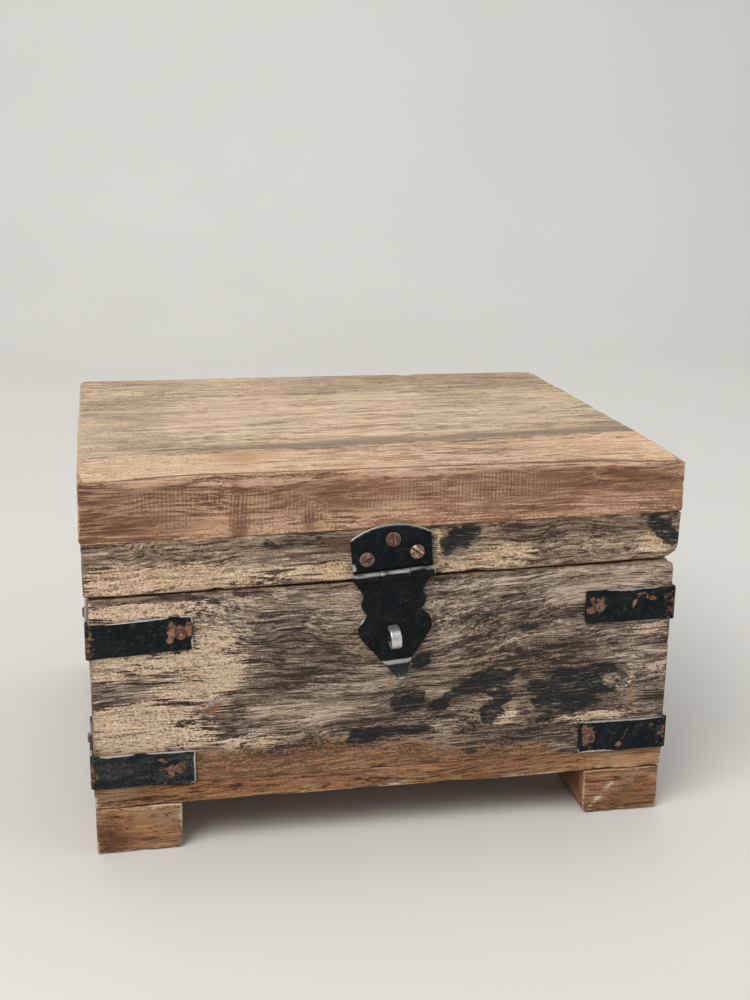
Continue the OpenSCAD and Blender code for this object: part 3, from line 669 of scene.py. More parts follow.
# %% Wood materials from the group
BLACK_PAINT = (0.0085, 0.0105, 0.012)


def wood_material(name, colours, contrast, strokes, relief, cover=1.0, grooves=0.45, band=None):
    """A wood finish. With a band, the places that the mask "band" marks have its colours."""
    material, tree, shader = new_material(name)
    inputs = {mask.title(): attribute(tree, mask) for mask in MASKS}
    inputs["Grain"] = attribute(tree, "grain", vector=True)
    inputs.update(colours)
    if band:
        in_band = attribute(tree, "band")
        inputs.update({title: blend(in_band, colours[title], band[title]) for title in COLOUR_INPUTS})
    inputs.update({"Contrast": contrast, "Strokes": strokes, "Grooves": grooves, "Sand Cover": cover})
    connect(shader, use_group(tree, old_wood, inputs), relief, 0.25)
    return material


def colours(dark, mid, light, sand, stain, edge):
    """The colours of one board by the names of the group's inputs."""
    return dict(zip(COLOUR_INPUTS, (dark, mid, light, sand, BLACK_PAINT, stain, edge)))


wall_colours = colours(
    (0.04, 0.026, 0.017), (0.205, 0.148, 0.11), (0.6, 0.48, 0.37),
    (0.66, 0.475, 0.325), (0.365, 0.18, 0.086), (0.34, 0.24, 0.16))
rail_colours = colours(
    (0.052, 0.032, 0.019), (0.265, 0.19, 0.133), (0.6, 0.47, 0.34),
    (0.63, 0.44, 0.275), (0.16, 0.09, 0.06), (0.4, 0.29, 0.19))
base_colours = colours(
    (0.055, 0.025, 0.012), (0.29, 0.136, 0.062), (0.46, 0.26, 0.135),
    (0.5, 0.33, 0.2), (0.14, 0.065, 0.03), (0.66, 0.47, 0.31))
band_colours = colours(
    (0.14, 0.062, 0.036), (0.29, 0.142, 0.081), (0.55, 0.315, 0.188),
    (0.6, 0.36, 0.21), (0.165, 0.07, 0.044), (0.62, 0.4, 0.275))
front_top_colours = colours(
    (0.17, 0.09, 0.05), (0.54, 0.335, 0.205), (0.8, 0.55, 0.36),
    (0.7, 0.49, 0.32), (0.5, 0.27, 0.14), (0.66, 0.5, 0.36))
middle_top_colours = colours(
    (0.2, 0.14, 0.09), (0.57, 0.415, 0.272), (0.8, 0.62, 0.44),
    (0.76, 0.58, 0.39), (0.21, 0.165, 0.12), (0.6, 0.47, 0.34))
back_top_colours = colours(
    (0.17, 0.115, 0.08), (0.48, 0.34, 0.225), (0.7, 0.53, 0.38),
    (0.7, 0.52, 0.35), (0.22, 0.15, 0.11), (0.58, 0.45, 0.33))
finishes = {
    "wall": wood_material("weathered_wall", wall_colours, 1.1, 0.75, 0.45),
    "rail": wood_material("weathered_rail", rail_colours, 1.0, 0.7, 0.4),
    "base": wood_material("red_base", base_colours, 0.8, 0.25, 0.2),
    "top_front": wood_material("lid_front", front_top_colours, 0.66, 0.2, 0.25, 0.6, 0.8, band_colours),
    "top_middle": wood_material("lid_middle", middle_top_colours, 0.85, 0.3, 0.25, 0.5),
    "top_back": wood_material("lid_back", back_top_colours, 0.85, 0.35, 0.25, 0.5),
}
print("wood finishes:", ", ".join(finishes))

# %% [markdown]
# ## The sixteen wooden parts
# Seen from the front the box is one wide weathered board under a rim of the same wood, with
# a reddish plank edge on top and a reddish bottom board and feet below. The front is what
# the eye meets, so its boards get the finest lines; the sides and the back get wider ones,
# and the underside the widest. A patch is an ellipse on the front: its middle, half its
# length and height in millimetres, its turn in degrees if it has one, and its strength if
# that isn't 1.

# %% Patches on a face
PATCH_DEFAULTS = (0, 1)


def patch(across, up, rows):
    """1 in the middle of the nearest patch, 0 on its border and negative outside."""
    best = np.full(len(across), -3.0)
    for row in rows:
        x, z, half_x, half_z, turned, strength = row + PATCH_DEFAULTS[len(row) - 4:]
        c, s = math.cos(math.radians(turned)), math.sin(math.radians(turned))
        a, b = across - x, up - z
        inside = 1 - np.hypot((a * c + b * s) / half_x, (b * c - a * s) / half_z)
        best = np.maximum(best, np.minimum(inside, inside * strength))
    return best


def spread(world, seed, share, size=(60, 60, 14)):
    """Patches that nobody placed: above 0 on about that share of a face."""
    return 4 * (rough(world / size, seed, 3) - 0.5) - 1.6 * (1 - 2 * share)


def front_mask(world, normals):
    """1 on the face that looks to the front, 0 on the others."""
    return step(-normals[:, 1], 0.3, 0.8)


def shade(world, rows):
    """How far inside some patches of the front the points lie, from 0 to 0.6."""
    return np.clip(patch(world[:, 0], world[:, 2], rows), 0, 0.6)


def marks_of(seed, patches=None, sand=0.12, paint=0.03, stain=0.05, pale=0.4, extra=None):
    """The rule that puts the patches of one board on it: placed ones in front, scattered elsewhere."""
    shares = {"sand": sand, "paint": paint, "stain": stain, "pale": pale, "sawn": 0.0, "edge": 0.0}

    def marks(world, normals):
        """The further depth and the masks of a board at its points."""
        front = front_mask(world, normals)
        masks = {}
        for i, (name, share) in enumerate(shares.items()):
            masks[name] = spread(world, seed * 10 + i, share)
            if patches:
                placed = patch(world[:, 0], world[:, 2], patches.get(name, []))
                masks[name] = front * placed + (1 - front) * masks[name]
        masks["pale"] = np.clip(masks["pale"], -1, 1)
        masks["edge"] = np.clip(2.4 * masks["edge"], 0, 1.2)
        depth = extra(world, normals, masks) if extra else 0.0
        return depth, masks

    return marks


# %% Patches of the front
front_patches = {
    "sand": [
        (-103, 108.5, 27, 6.5, 1), (-74, 91, 10, 9), (-82, 84, 22, 7.5, 4), (-70, 79, 8, 7),
        (-112, 87.5, 17, 3.2, 0, 0.6), (-104, 60, 27, 7.5, 2), (-98, 50, 30, 6.5, 3), (-84, 71, 15, 5),
        (-119, 79, 8, 2.2, 0, 0.6), (92, 47.5, 20, 2.4, 1), (116, 88, 12, 4, 0, 0.2),
        (-58, 47, 14, 4, 0, 0.5), (52, 50, 5, 2.5, 30, 0.5), (107.5, 62, 4, 1.3, 55, 2)],
    "paint": [
        # the first paint row is painted shadow: black on the wood seen through the slot of the leaf
        (0.2, 91.3, 4.5, 7, 0, 3), (8, 60.4, 8.5, 5.6), (21, 57.8, 5, 3, 10), (42, 67.4, 15, 5, 14),
        (80, 60.5, 21, 11.5, 8), (92, 68.5, 13, 3.5, 8), (8, 47, 14, 2.3, 2),
        (-12, 46.4, 9, 4.2, 14, 1.5), (13.5, 78.5, 4.5, 4.2), (45, 53, 6.5, 5.5, 25),
        (60, 91.5, 5, 1.8, 5), (49, 59, 5, 5), (31, 63, 9, 2.6, 14)],
    "stain": [(-76, 62.2, 4.8, 1.6, 33, 1.6)],
    "edge": [(109, 57, 19, 13, 25, 0.6), (62, 49, 26, 5, 4, 0.4), (-8, 64, 14, 5, 0, 0.35)],
    "pale": [
        (18, 103, 14, 10), (24, 92, 8, 9), (-33, 57, 14, 4, 8), (-17, 103, 12, 9), (36, 110, 50, 5, 2),
        (-100, 69.5, 14, 1.8), (-38, 62, 20, 3, 8), (-40, 112, 30, 3), (-72, 102, 12, 7),
        (75, 88, 24, 4), (-20, 70, 16, 4, 10), (100, 112, 26, 3, 1), (84, 104, 20, 3),
        (110, 80, 14, 24, 0, 0.7)],
}
rail_patches = {
    "sand": [
        (-112, 119, 17, 8), (-92, 120.5, 24, 6, 4), (-62, 118.5, 22, 4, 1, 0.35),
        (-30, 121.5, 22, 5, 0, 0.4), (-24, 121, 7, 6), (19.2, 129, 1.2, 8, 0, 0.7),
        (36, 120.5, 16, 4, 2, 0.35), (52, 125.5, 14, 3, 2, 0.45), (116, 127.5, 9, 5, 10, 0.3)],
    "paint": [
        (29, 132.5, 9, 5, 25), (22.6, 127.5, 2.3, 8, 0, 0.5), (116, 134.5, 9, 4.2, -38),
        (122, 129, 5, 4, -50), (-44, 134, 12, 2, 3, 0.05)],
    "stain": [(-20, 131, 10, 4)],
    "pale": [
        (-100, 121, 30, 9), (40, 122, 30, 6), (100, 128, 26, 6, 0, 0.2), (-60, 128, 40, 8, 0, 0.5)],
}
band_patches = {
    "sand": [
        (-80, 141, 15, 5.2, 0, 0.6), (-55, 141, 18, 4.6), (-33, 139, 12, 3.2),
        (94, 148.5, 13, 3.4, 0, 0.5), (70, 141.5, 36, 2, 0, 0.6), (-95, 161.2, 34, 1.6, 1),
        (-60, 159.4, 26, 2.6), (-10, 160.5, 30, 1.8)],
    "stain": [
        (-104, 151, 24, 11, 0, 0.01), (-63.5, 148, 3.4, 12.5), (-64.5, 159, 2.6, 3),
        (-35, 143, 2.6, 5), (-30, 153, 26, 6, 0, 0.12), (60, 154, 60, 6, 0, 0.2), (-86, 158.5, 2, 2.5)],
    "edge": [
        (-98, 160.4, 38, 2.6, 1, 0.75), (-52, 159.4, 46, 3.6, 1, 0.7), (12, 160.6, 46, 2.6, 0, 0.65),
        (84, 161.6, 54, 1.2, 0, 0.7)],
    "pale": [(14, 143, 20, 3.5), (24, 150, 46, 8, 0, 0.5), (-72, 142, 16, 5), (90, 147, 30, 5)],
    "sawn": [(-74, 151, 42, 9), (-42, 147, 22, 10), (40, 153, 50, 8), (10, 147, 26, 7)],
}
foot_patches = {
    "sand": [(100, 12, 1, 11, -40, 0.12)],
    "edge": [
        (-98.5, 8.7, 2.6, 2, 10, 0.45), (-124.5, 10, 1.9, 13, 0, 0.45), (-89, 10, 1.7, 12, 0, 0.5),
        (89, 10, 1.9, 12, 0, 0.5), (93, 1.5, 6, 1.3, 0, 0.4), (124.5, 10, 1.3, 12, 0, 0.3)],
    "stain": [(-118, 8, 9, 8, 0, 0.6), (112, 6, 10, 6, 0, 0.05)],
    "pale": [(-106, 10, 16, 8), (104, 11, 16, 9, 0, 0.1)],
}
zones = (front_patches, rail_patches, band_patches, foot_patches)
print("placed patches:", sum(len(rows) for zone in zones for rows in zone.values()))


# %% The face and the seams of the front boards
def front_board_extra(world, normals, masks):
    """The foot of the board has taken the red-brown of the bottom board, its middle is darker,
    and the saw has torn the wood just below its cut, whose colour is darkened further there as
    painted shadow of the saw line."""
    x, z = world[:, 0], world[:, 2]
    ragged = 5 * (rough(world[:, [0, 2]] / 14, 71, 2) - 0.5)
    line = 43.5 - 7 * step(x, -15, 45) - 14 * step(x, 62, 90) + ragged
    soaked = np.clip((line - z) / 8, -3, 1) * front_mask(world, normals)
    masks["stain"] = np.maximum(masks["stain"], soaked)
    dark = shade(world, [(58, 78, 52, 34), (-32, 41.5, 60, 4.2)])
    below_cut = wall_top(x) - z
    # the strip just below the cut is torn and sunk, and its colour is darkened further as painted shadow of
    # the saw line
    tear_and_shadow = step(rough(world[:, [0, 2]] / (9, 5), 72, 2), 0.44, 0.56) * (0.4 + 0.6 * step(-x, -20, 60))
    tear_and_shadow = tear_and_shadow * step(3.8 - below_cut, 0, 2.6) * step(-normals[:, 1], 0.02, 0.3)
    masks["groove"] = 1.3 * tear_and_shadow
    masks["sand"] = masks["sand"] - 2.5 * tear_and_shadow
    masks["pale"] = masks["pale"] - 1.9 * dark - 2.6 * tear_and_shadow
    return 0.5 * tear_and_shadow


def front_rail_extra(world, normals, masks):
    """The right half of the rail is a little darker, and so is the top of its left half."""
    top_left = shade(world, [(-88, 132.5, 34, 4.5, 2), (-30, 133, 26, 3.5)])
    right = shade(world, [(80, 124, 60, 22)])
    masks["pale"] = masks["pale"] - 1.1 * right - 2.0 * top_left
    masks["sand"] = masks["sand"] - 1.5 * top_left
    return 0.0


def knotty_flow(world):
    """The fibres of the front board draw together below the hasp, as they do past a knot."""
    near = np.exp(-(((world[:, 0] - 4) / 46) ** 2))
    return 7.5 * np.tanh((world[:, 2] - 70) / 20) * near


def front_plank_extra(world, normals, masks):
    """The front face is the reddish band; a dark scratch follows the worn front edge on top,
    which sags towards both ends."""
    run, on_top = world[:, 0], normals[:, 2]
    front = front_mask(world, normals)
    wander = 0.8 * (bumps(np.stack([run / 30, 0 * run], -1), 5) - 0.5)
    line = FRONT + 2.6 + 1.6 * step(run, -110, 60) + wander
    width = 1.2 - 0.4 * step(run, -90, -40)
    scratch = np.exp(-(((world[:, 1] - line) / width) ** 2)) * step(on_top, 0.1, 0.5)
    masks["groove"] = 1.4 * scratch
    masks["band"] = np.maximum(front, step(np.abs(normals[:, 0]), 0.4, 0.8) * 0.8)
    masks["band"] = np.maximum(masks["band"], scratch)
    sanded = (1 - front) * step(-run, 20, 75) * 0.8
    masks["sand"] = np.maximum(masks["sand"], sanded) - 3 * scratch
    sag = 1.9 * step(np.abs(run), 60, 127) ** 2 * step(FRONT + 26 - world[:, 1], 0, 26)
    return 0.45 * scratch + sag * step(on_top, 0.05, 0.5)


def middle_plank_extra(world, normals, masks):
    """Along the front seam of the middle plank the old surface is left as a grey-green streak."""
    inside = world[:, 1] - front_seam(world[:, 0])
    wide = 5 + 9 * bumps(np.stack([world[:, 0] / 42, 0 * inside], -1), 9)
    streak = 0.75 - np.abs(inside - 3) / wide
    masks["stain"] = np.maximum(masks["stain"], np.maximum(streak, -3) * step(world[:, 0], -100, -20))
    return 0.0


# %% The boards
FINE, PLAIN, WIDE = 0.6, 1.2, 3.0
front_lines, plain_lines = (1.7, 2.5, FINE), (2.4, 4, PLAIN)
front_y, back_y = (level(FRONT), level(FRONT + WALL)), (level(BACK - WALL), level(BACK))
side_y = (level(FRONT + WALL), level(BACK - WALL))
wall_z, rim_z, lid_z = (level(FLOOR_UP), wall_top), (rim_bottom, seam), (seam, level(TOP))
RIM_OVER, PLANK_OVER = 1.4, 1.1
wall_ends, rim_ends = (LEFT, RIGHT), (LEFT - RIM_OVER, RIGHT + RIM_OVER)
plank_ends = (PLANK_LEFT - PLANK_OVER, PLANK_RIGHT + PLANK_OVER)
rows = [
    ("front_board", "box", wall_ends, front_y, wall_z, "wall",
     dict(patches=front_patches, extra=front_board_extra),
     dict(spacing=front_lines, groove=0.5, flow=knotty_flow, worn={"right top": 5.0, "front under": 0.3})),
    ("back_board", "box", wall_ends, back_y, wall_z, "wall", dict(sand=0.2),
     dict(spacing=plain_lines, worn={"right top": 5.0})),
    ("left_board", "box", (LEFT, LEFT + WALL), side_y, wall_z, "wall", dict(sand=0.3, paint=0.06),
     dict(spacing=plain_lines, along="y")),
    ("right_board", "box", (RIGHT - WALL, RIGHT), side_y, wall_z, "wall", dict(sand=0.15, paint=0.12),
     dict(spacing=plain_lines, along="y", worn={"right top": 5.0})),
    ("lid_front_rail", "lid", rim_ends, front_y, rim_z, "rail",
     dict(patches=rail_patches, extra=front_rail_extra),
     dict(spacing=front_lines, worn={"right under": 8.0, "front top": 0.3})),
    ("lid_back_rail", "lid", rim_ends, back_y, rim_z, "rail", dict(sand=0.2),
     dict(spacing=plain_lines, worn={"right under": 8.0})),
    ("lid_left_rail", "lid", (rim_ends[0], LEFT + WALL), side_y, rim_z, "rail", dict(sand=0.4),
     dict(spacing=plain_lines, along="y")),
    ("lid_right_rail", "lid", (RIGHT - WALL, rim_ends[1]), side_y, rim_z, "rail", dict(sand=0.25, paint=0.1),
     dict(spacing=plain_lines, along="y", worn={"right under": 8.0})),
    ("top_plank_front", "lid", plank_ends, (level(FRONT), front_seam), lid_z, "top_front",
     dict(patches=band_patches, sand=0.2, paint=0.0, stain=0.1, extra=front_plank_extra),
     dict(spacing=(1.7, 1.2, FINE), groove=0.2, radius=1.8, amount=0.55, chips=0.7,
          worn={"front under": 0.3})),
    ("top_plank_middle", "lid", plank_ends, (front_seam, back_seam), lid_z, "top_middle",
     dict(sand=0.25, paint=0.0, stain=0.08, extra=middle_plank_extra),
     dict(spacing=(2.0, 1.1, 4), groove=0.3)),
    ("top_plank_back", "lid", plank_ends, (back_seam, level(BACK)), lid_z, "top_back",
     dict(sand=0.2, paint=0.0, stain=0.25),
     dict(spacing=(2.0, 1.2, PLAIN), groove=0.3, radius=1.8, worn={"left back": 7.0, "right back": 7.0})),
    ("bottom_board", "box", wall_ends, (level(FRONT), level(BACK)), (level(BASE), level(FLOOR_UP)), "base",
     dict(sand=0.08, paint=0.0, stain=0.2),
     dict(spacing=(2.0, WIDE, 0.7), groove=0.15, radius=0.8, chips=0.5, worn={"front top": 0.3})),
]
FIRST_BOARD_SEED, FIRST_FOOT_SEED = 3, 21
boards = []


def add_board(name, body, x_ends, y_lines, z_lines, finish, marks, detail, seed):
    """Builds one board and gives it its finish."""
    corners = corner_grid(x_ends, y_lines, z_lines)
    board = make_board(name, body, corners, seed, marks_of(seed, **marks), **detail)
    board.data.materials.append(finishes[finish])
    boards.append(board)


for seed, row in enumerate(rows, FIRST_BOARD_SEED):
    add_board(*row, seed)
for seed, (deep, side) in enumerate(itertools.product(("front", "back"), ("left", "right")), FIRST_FOOT_SEED):
    name = f"{deep}_{side}_foot"
    low, high = low_high(name)
    inner_side, inner_deep = ("right" if side == "left" else "left"), ("back" if deep == "front" else "front")
    y_lines, z_lines = [(level(low[axis]), level(high[axis])) for axis in (1, 2)]
    add_board(name, "box", (low[0], high[0]), y_lines, z_lines, "base",
              dict(patches=foot_patches, sand=0.1, paint=0.0, stain=0.2),
              dict(spacing=(1.4, 2, 0.9), groove=0.3,
                   worn={f"{inner_side} under": 4.0, f"{inner_deep} under": 4.0}), seed)
print(len(boards), "wooden pieces,", sum(len(board.data.vertices) for board in boards), "points")

# %% [markdown]
# ## Iron that has been painted, rubbed and rained on
# The straps, the hasp, the hinges and every nail are iron under what time has left on it.
# Black paint wears off along the edges and shows bright metal, a nail bleeds rust over the
# paint round it, and dust and small knocks leave pale specks and scratches. That is one
# story with other amounts, so again it is one node group. It reads three masks from the
# mesh: how near an edge is, where rust sits, and where the metal shows bare: rubbed bare in
# most places, and a painted highlight on the upper side of the knuckles, on the bend of the
# leaf and, with wear, on the arch of the plate.

# %% The worn iron group
iron_inputs = [("Place", "Vector", None), *[(name, "Float", 0.0) for name in ("Edge", "Rust", "Bare")]]
iron_inputs += [(name, "Color", (0.1, 0.1, 0.1)) for name in ("Paint", "Metal", "Dark Rust", "Light Rust")]
amounts = {"Edge Wear": 1.0, "Specks": 0.5, "Scratches": 0.5, "Gloss": 0.5, "Shine": 0.35}
iron_inputs += [(name, "Float", amount) for name, amount in amounts.items()]
iron_outputs = [(name, "Float") for name in ("Roughness", "Metallic", "Height")]
worn_iron, given, result = new_group("worn_iron", iron_inputs, [("Color", "Color"), *iron_outputs])

here = given["Place"]
dust = fibres(here, 0.45, 0.45, 2.0)
flakes = fibres(here, 2.6, 2.6, 3.0, 0.65)
clouds = fibres(here, 13, 13, 2.0)


def scratch_lines(turn, length, shift):
    """Thin lines that run at an angle, each about that long in millimetres."""
    turned = add(worn_iron, "VectorRotate", {"Vector": here, "Axis": (0.1, 1.0, 0.05), "Angle": turn})
    inputs = (turned.outputs[0], (shift, shift, shift))
    moved = add(worn_iron, "VectorMath", inputs, operation="ADD").outputs[0]
    middle = sums("ABSOLUTE", mixed((fibres(moved, length, 0.7, 1.0), 1.0)))
    broken = fibres(moved, length * 0.6, 3.0, 1.0)
    return times(ramp(middle, 0.02, 0.004), ramp(broken, 0.56, 0.66))


scratches = larger(scratch_lines(-0.5, 7, 40.0), scratch_lines(1.5, 5, 70.0))
scratches = times(larger(scratch_lines(0.3, 9, 3.0), scratches), given["Scratches"])
specks = times(ramp(plus(dust, mixed((flakes, 0.5))), 0.68, 0.76), given["Specks"])
worn_edge = plus(times(given["Edge"], given["Edge Wear"]), mixed((clouds, 2.2), (flakes, 0.8)))
worn_edge = times(ramp(worn_edge, 0.5, 0.72), ramp(given["Edge"], 0.12, 0.35))
bare = larger(worn_edge, ramp(plus(given["Bare"], mixed((dust, 0.3))), 0.25, 0.8))
rust = ramp(plus(given["Rust"], mixed((flakes, 1.5), (dust, 0.9))), 0.02, 0.2)

paint = blend(ramp(clouds, 0.4, 0.75), given["Paint"], blend(0.008, given["Paint"], given["Metal"]))
paint = blend(times(scratches, 0.45), paint, given["Metal"])
paint = blend(times(specks, 0.5), paint, blend(0.5, given["Light Rust"], given["Metal"]))
metal = blend(ramp(dust, 0.3, 0.7), blend(0.35, given["Metal"], given["Dark Rust"]), given["Metal"])
depth = times_plus(smaller(given["Rust"], 0.8), 0.4, times_plus(flakes, 1.2, times(dust, 0.8)))
crust = blend(ramp(depth, 0.78, 1.42), given["Dark Rust"], given["Light Rust"])
plug(result["Color"], blend(rust, blend(bare, paint, metal), crust))
clean = minus(1.0, rust)
gloss = times_plus(clouds, 0.22, given["Gloss"])
gloss = plus(gloss, times(specks, 0.3))
bare_gloss = times_plus(dust, 0.2, given["Shine"])
shine = plus(times(bare, bare_gloss), times(minus(1.0, bare), gloss))
plug(result["Roughness"], plus(times(shine, clean), times(rust, 0.82)))
plug(result["Metallic"], times(times(bare, clean), 0.85))
height = times_plus(clouds, 0.8, times(bare, -0.25))
height = plus(height, times(rust, times_plus(flakes, 0.9, 0.2)))
plug(result["Height"], minus(height, times(scratches, 0.2)))
print("worn iron group:", len(worn_iron.nodes), "nodes")


# %% Iron finishes from the group
GREY_METAL = (0.60, 0.59, 0.57)
BROWN_RUST = ((0.045, 0.024, 0.014), (0.36, 0.195, 0.12))
RED_RUST = ((0.045, 0.024, 0.014), (0.32, 0.165, 0.098))
COPPER_RUST = ((0.060, 0.030, 0.020), (0.31, 0.18, 0.125))


def iron_material(name, paint, metal=GREY_METAL, rusts=BROWN_RUST, relief=0.12, **amounts):
    """An iron finish; the amounts are the group's inputs by name, with _ for a space."""
    material, tree, shader = new_material(name)
    inputs = {"Place": attribute(tree, "place", vector=True), "Paint": paint, "Metal": metal}
    inputs.update({"Dark Rust": rusts[0], "Light Rust": rusts[1]})
    inputs.update({mask.title(): attribute(tree, mask) for mask in ("edge", "rust", "bare")})
    inputs.update({title.replace("_", " "): value for title, value in amounts.items()})
    connect(shader, use_group(tree, worn_iron, inputs), relief, 0.13)
    return material


irons = {
    # the blue in the straps' near-black paint is partly painted reflection: a bluish sheen put into the
    # colour
    "strap": iron_material("strap_paint_and_sheen", (0.0022, 0.0058, 0.0080), rusts=RED_RUST,
                           Edge_Wear=0.95, Specks=0.18, Scratches=0.25, Gloss=0.28),
    # the blue in the hasp's near-black paint is partly painted reflection: the grey-blue sheen of the leaf
    # put into the colour
    "hasp": iron_material("hasp_paint_and_sheen", (0.0010, 0.0034, 0.0058), relief=0.06,
                          Edge_Wear=0.62, Specks=0.4, Scratches=0.12, Gloss=0.24),
    "hinge": iron_material("hinge_paint", (0.0040, 0.0048, 0.0055),
                           Edge_Wear=0.7, Specks=0.6, Scratches=0.5, Gloss=0.34),
    "nail": iron_material("rusty_nail", (0.10, 0.045, 0.028), (0.50, 0.36, 0.28), COPPER_RUST,
                          Edge_Wear=0.8, Specks=0.5, Scratches=0.2, Gloss=0.45),
    "screw": iron_material("rusty_screw", (0.105, 0.050, 0.036), (0.66, 0.47, 0.40), COPPER_RUST,
                           Edge_Wear=0.75, Specks=0.8, Scratches=1.0, Gloss=0.36),
    "zinc": iron_material("zinc", (0.55, 0.56, 0.57), (0.78, 0.79, 0.80), relief=0.04,
                          Edge_Wear=1.4, Specks=0.1, Scratches=0.5, Gloss=0.3, Shine=0.26),
}
print("iron finishes:", ", ".join(irons))

# %% [markdown]
# ## Cutting and bending iron
# Each iron piece starts the way a smith starts it. A strap, a hinge knuckle or the staple is
# a strip bent along a path, so one helper rules a straight strip, rounds its edges and lays
# it along the path. The plates of the hasp and the hinges are cut from sheet, so a second
# helper fills an outline with triangles and gives it a rounded rim. Heads of nails are
# turned round their axis. Modelled edges matter here: the thin bright line on a worn edge
# is what tells the eye that the piece is iron and not black card.

# %% A strip bent along a path
def bent_strip(path, width, thickness, edge=0.3, spacing=0.9, corner=None):
    """A strip whose middle follows a path in a plane. Gives its points (two numbers in the
    plane and one across it), its quads, the closeness of an edge and the place on the flat strip."""
    path = np.asarray(path, float)
    run = np.concatenate([[0], np.cumsum(np.linalg.norm(np.diff(path, axis=0), axis=1))])
    ahead = np.gradient(path, run, axis=0)
    ahead /= np.linalg.norm(ahead, axis=1)[:, None]
    size = np.array([run[-1], thickness, width])
    points, quads = block_skin([ruled(size[0], spacing, 2 * edge), np.linspace(0, thickness, 6),
                                ruled(width, spacing, 2 * edge)])
    flat = points.copy()
    for axes, radius in (((1, 2), edge), ((0, 1), edge), ((0, 2), corner or edge)):
        for ends in itertools.product((-1, 1), repeat=2):
            round_edge(points, size, axes, ends, radius)
    at, way = [np.stack([np.interp(points[:, 0], run, line[:, i]) for i in range(2)], 1)
               for line in (path, ahead)]
    way /= np.linalg.norm(way, axis=1)[:, None]
    side = (points[:, 1] - thickness / 2)[:, None]
    at = at + side * np.stack([-way[:, 1], way[:, 0]], 1)
    near = np.minimum(flat[:, 2], width - flat[:, 2])
    near = np.minimum(near, np.minimum(flat[:, 0], size[0] - flat[:, 0]))
    return np.column_stack([at, points[:, 2]]), quads, {"edge": np.exp(-near / 0.42), "flat": flat}


def arc(middle, radius, start, end, count=24):
    """Points on an arc, its angles in degrees."""
    turned = np.radians(np.linspace(start, end, count))
    return np.array(middle) + radius * np.stack([np.cos(turned), np.sin(turned)], 1)


print("a test strip has", len(bent_strip([(0, 0), (30, 0)], 10, 1)[0]), "points")


# %% A plate cut from sheet
def even(corners, spacing=0.6):
    """A closed line through the corners, with points evenly along each side."""
    rows = []
    for start, end in zip(corners, np.roll(corners, -1, 0)):
        count = max(1, round(np.linalg.norm(end - start) / spacing))
        rows.append(start + (end - start) * np.arange(count)[:, None] / count)
    return np.concatenate(rows)


def inset(loop, amount):
    """A closed line moved to its left: inwards for an outline that runs counter-clockwise."""
    along = np.roll(loop, -1, 0) - np.roll(loop, 1, 0)
    along /= np.linalg.norm(along, axis=1)[:, None]
    return loop + amount * np.stack([-along[:, 1], along[:, 0]], 1)


def inside(points, loops):
    """Whether points lie inside the outline and outside the holes."""
    odd = np.zeros(len(points), bool)
    for loop in loops:
        for (x0, y0), (x1, y1) in zip(loop, np.roll(loop, -1, 0)):
            crossed = (y0 > points[:, 1]) != (y1 > points[:, 1])
            at = x0 + (points[:, 1] - y0) * (x1 - x0) / (y1 - y0 if y1 != y0 else 1)
            odd ^= crossed & (points[:, 0] < at)
    return odd


def distance(points, others):
    """How far each point is from the nearest of the others."""
    return np.array([np.linalg.norm(others - point, axis=1).min() for point in points])


def fill(loops, border, spacing):
    """Triangles between an outline and its holes. Gives the points added inside, the triangles,
    and the edges of the border."""
    low, high = loops[0].min(0), loops[0].max(0)
    grid = np.stack(np.meshgrid(*[np.arange(a, b, spacing) for a, b in zip(low, high)]), -1).reshape(-1, 2)
    grid[:, 0] += spacing / 2 * (np.round((grid[:, 1] - low[1]) / spacing) % 2)
    rings = np.split(border, np.cumsum([len(loop) for loop in loops])[:-1])
    grid = grid[inside(grid, rings) & (distance(grid, border) > 0.55 * spacing)]
    edges, start = [], 0
    for loop in loops:
        numbers = np.arange(len(loop)) + start
        edges += list(zip(numbers.tolist(), np.roll(numbers, -1).tolist()))
        start += len(loop)
    filled = np.concatenate([border, grid])
    found, _, faces, _, _, _ = geometry.delaunay_2d_cdt([Vector(p) for p in filled], edges, [], 0, 1e-5)
    nearest = np.array([np.linalg.norm(filled - point, axis=1).argmin() for point in np.array(found)])
    triangles = np.array([face for face in nearest[np.array(faces)] if len(set(face)) == 3])
    return grid, triangles[inside(filled[triangles].mean(1), rings)], edges


def cut_sheet(loops, thickness, rim=0.22, spacing=1.3):
    """A flat sheet cut to an outline and holes, with a rounded rim. Gives points (two numbers in
    the sheet and the height above its back), faces and the closeness of an edge."""
    steps = [(rim + 0.1, 0.0), (rim, 0.0), (0.3 * rim, 0.3 * rim), (0.0, rim)]
    steps += [(back, thickness - height) for back, height in reversed(steps)]
    rings = [np.concatenate([inset(loop, back) for loop in loops]) for back, _ in steps]
    grid, triangles, edges = fill(loops, rings[0], spacing)
    points = [np.column_stack([ring, np.full(len(ring), height)]) for ring, (_, height) in zip(rings, steps)]
    points += [np.column_stack([grid, np.full(len(grid), height)]) for height in (0.0, thickness)]
    points = np.concatenate(points)
    count = len(rings[0])
    last = count * (len(steps) - 1)
    quads = []
    for ring in range(0, last, count):
        quads += [[ring + a, ring + b, ring + count + b, ring + count + a] for a, b in edges]
    on_border = triangles < count
    under = np.where(on_border, triangles, triangles + last)
    over = np.where(on_border, triangles + last, triangles + last + len(grid))
    near = distance(points[:, :2], np.concatenate(loops))
    return points, quads + under[:, ::-1].tolist() + over.tolist(), {"edge": np.exp(-near / 0.5)}


square = even(np.array([(0.0, 0.0), (12, 0), (12, 8), (0, 8)]))
print("a test plate has", len(cut_sheet([square], 1.2)[0]), "points")


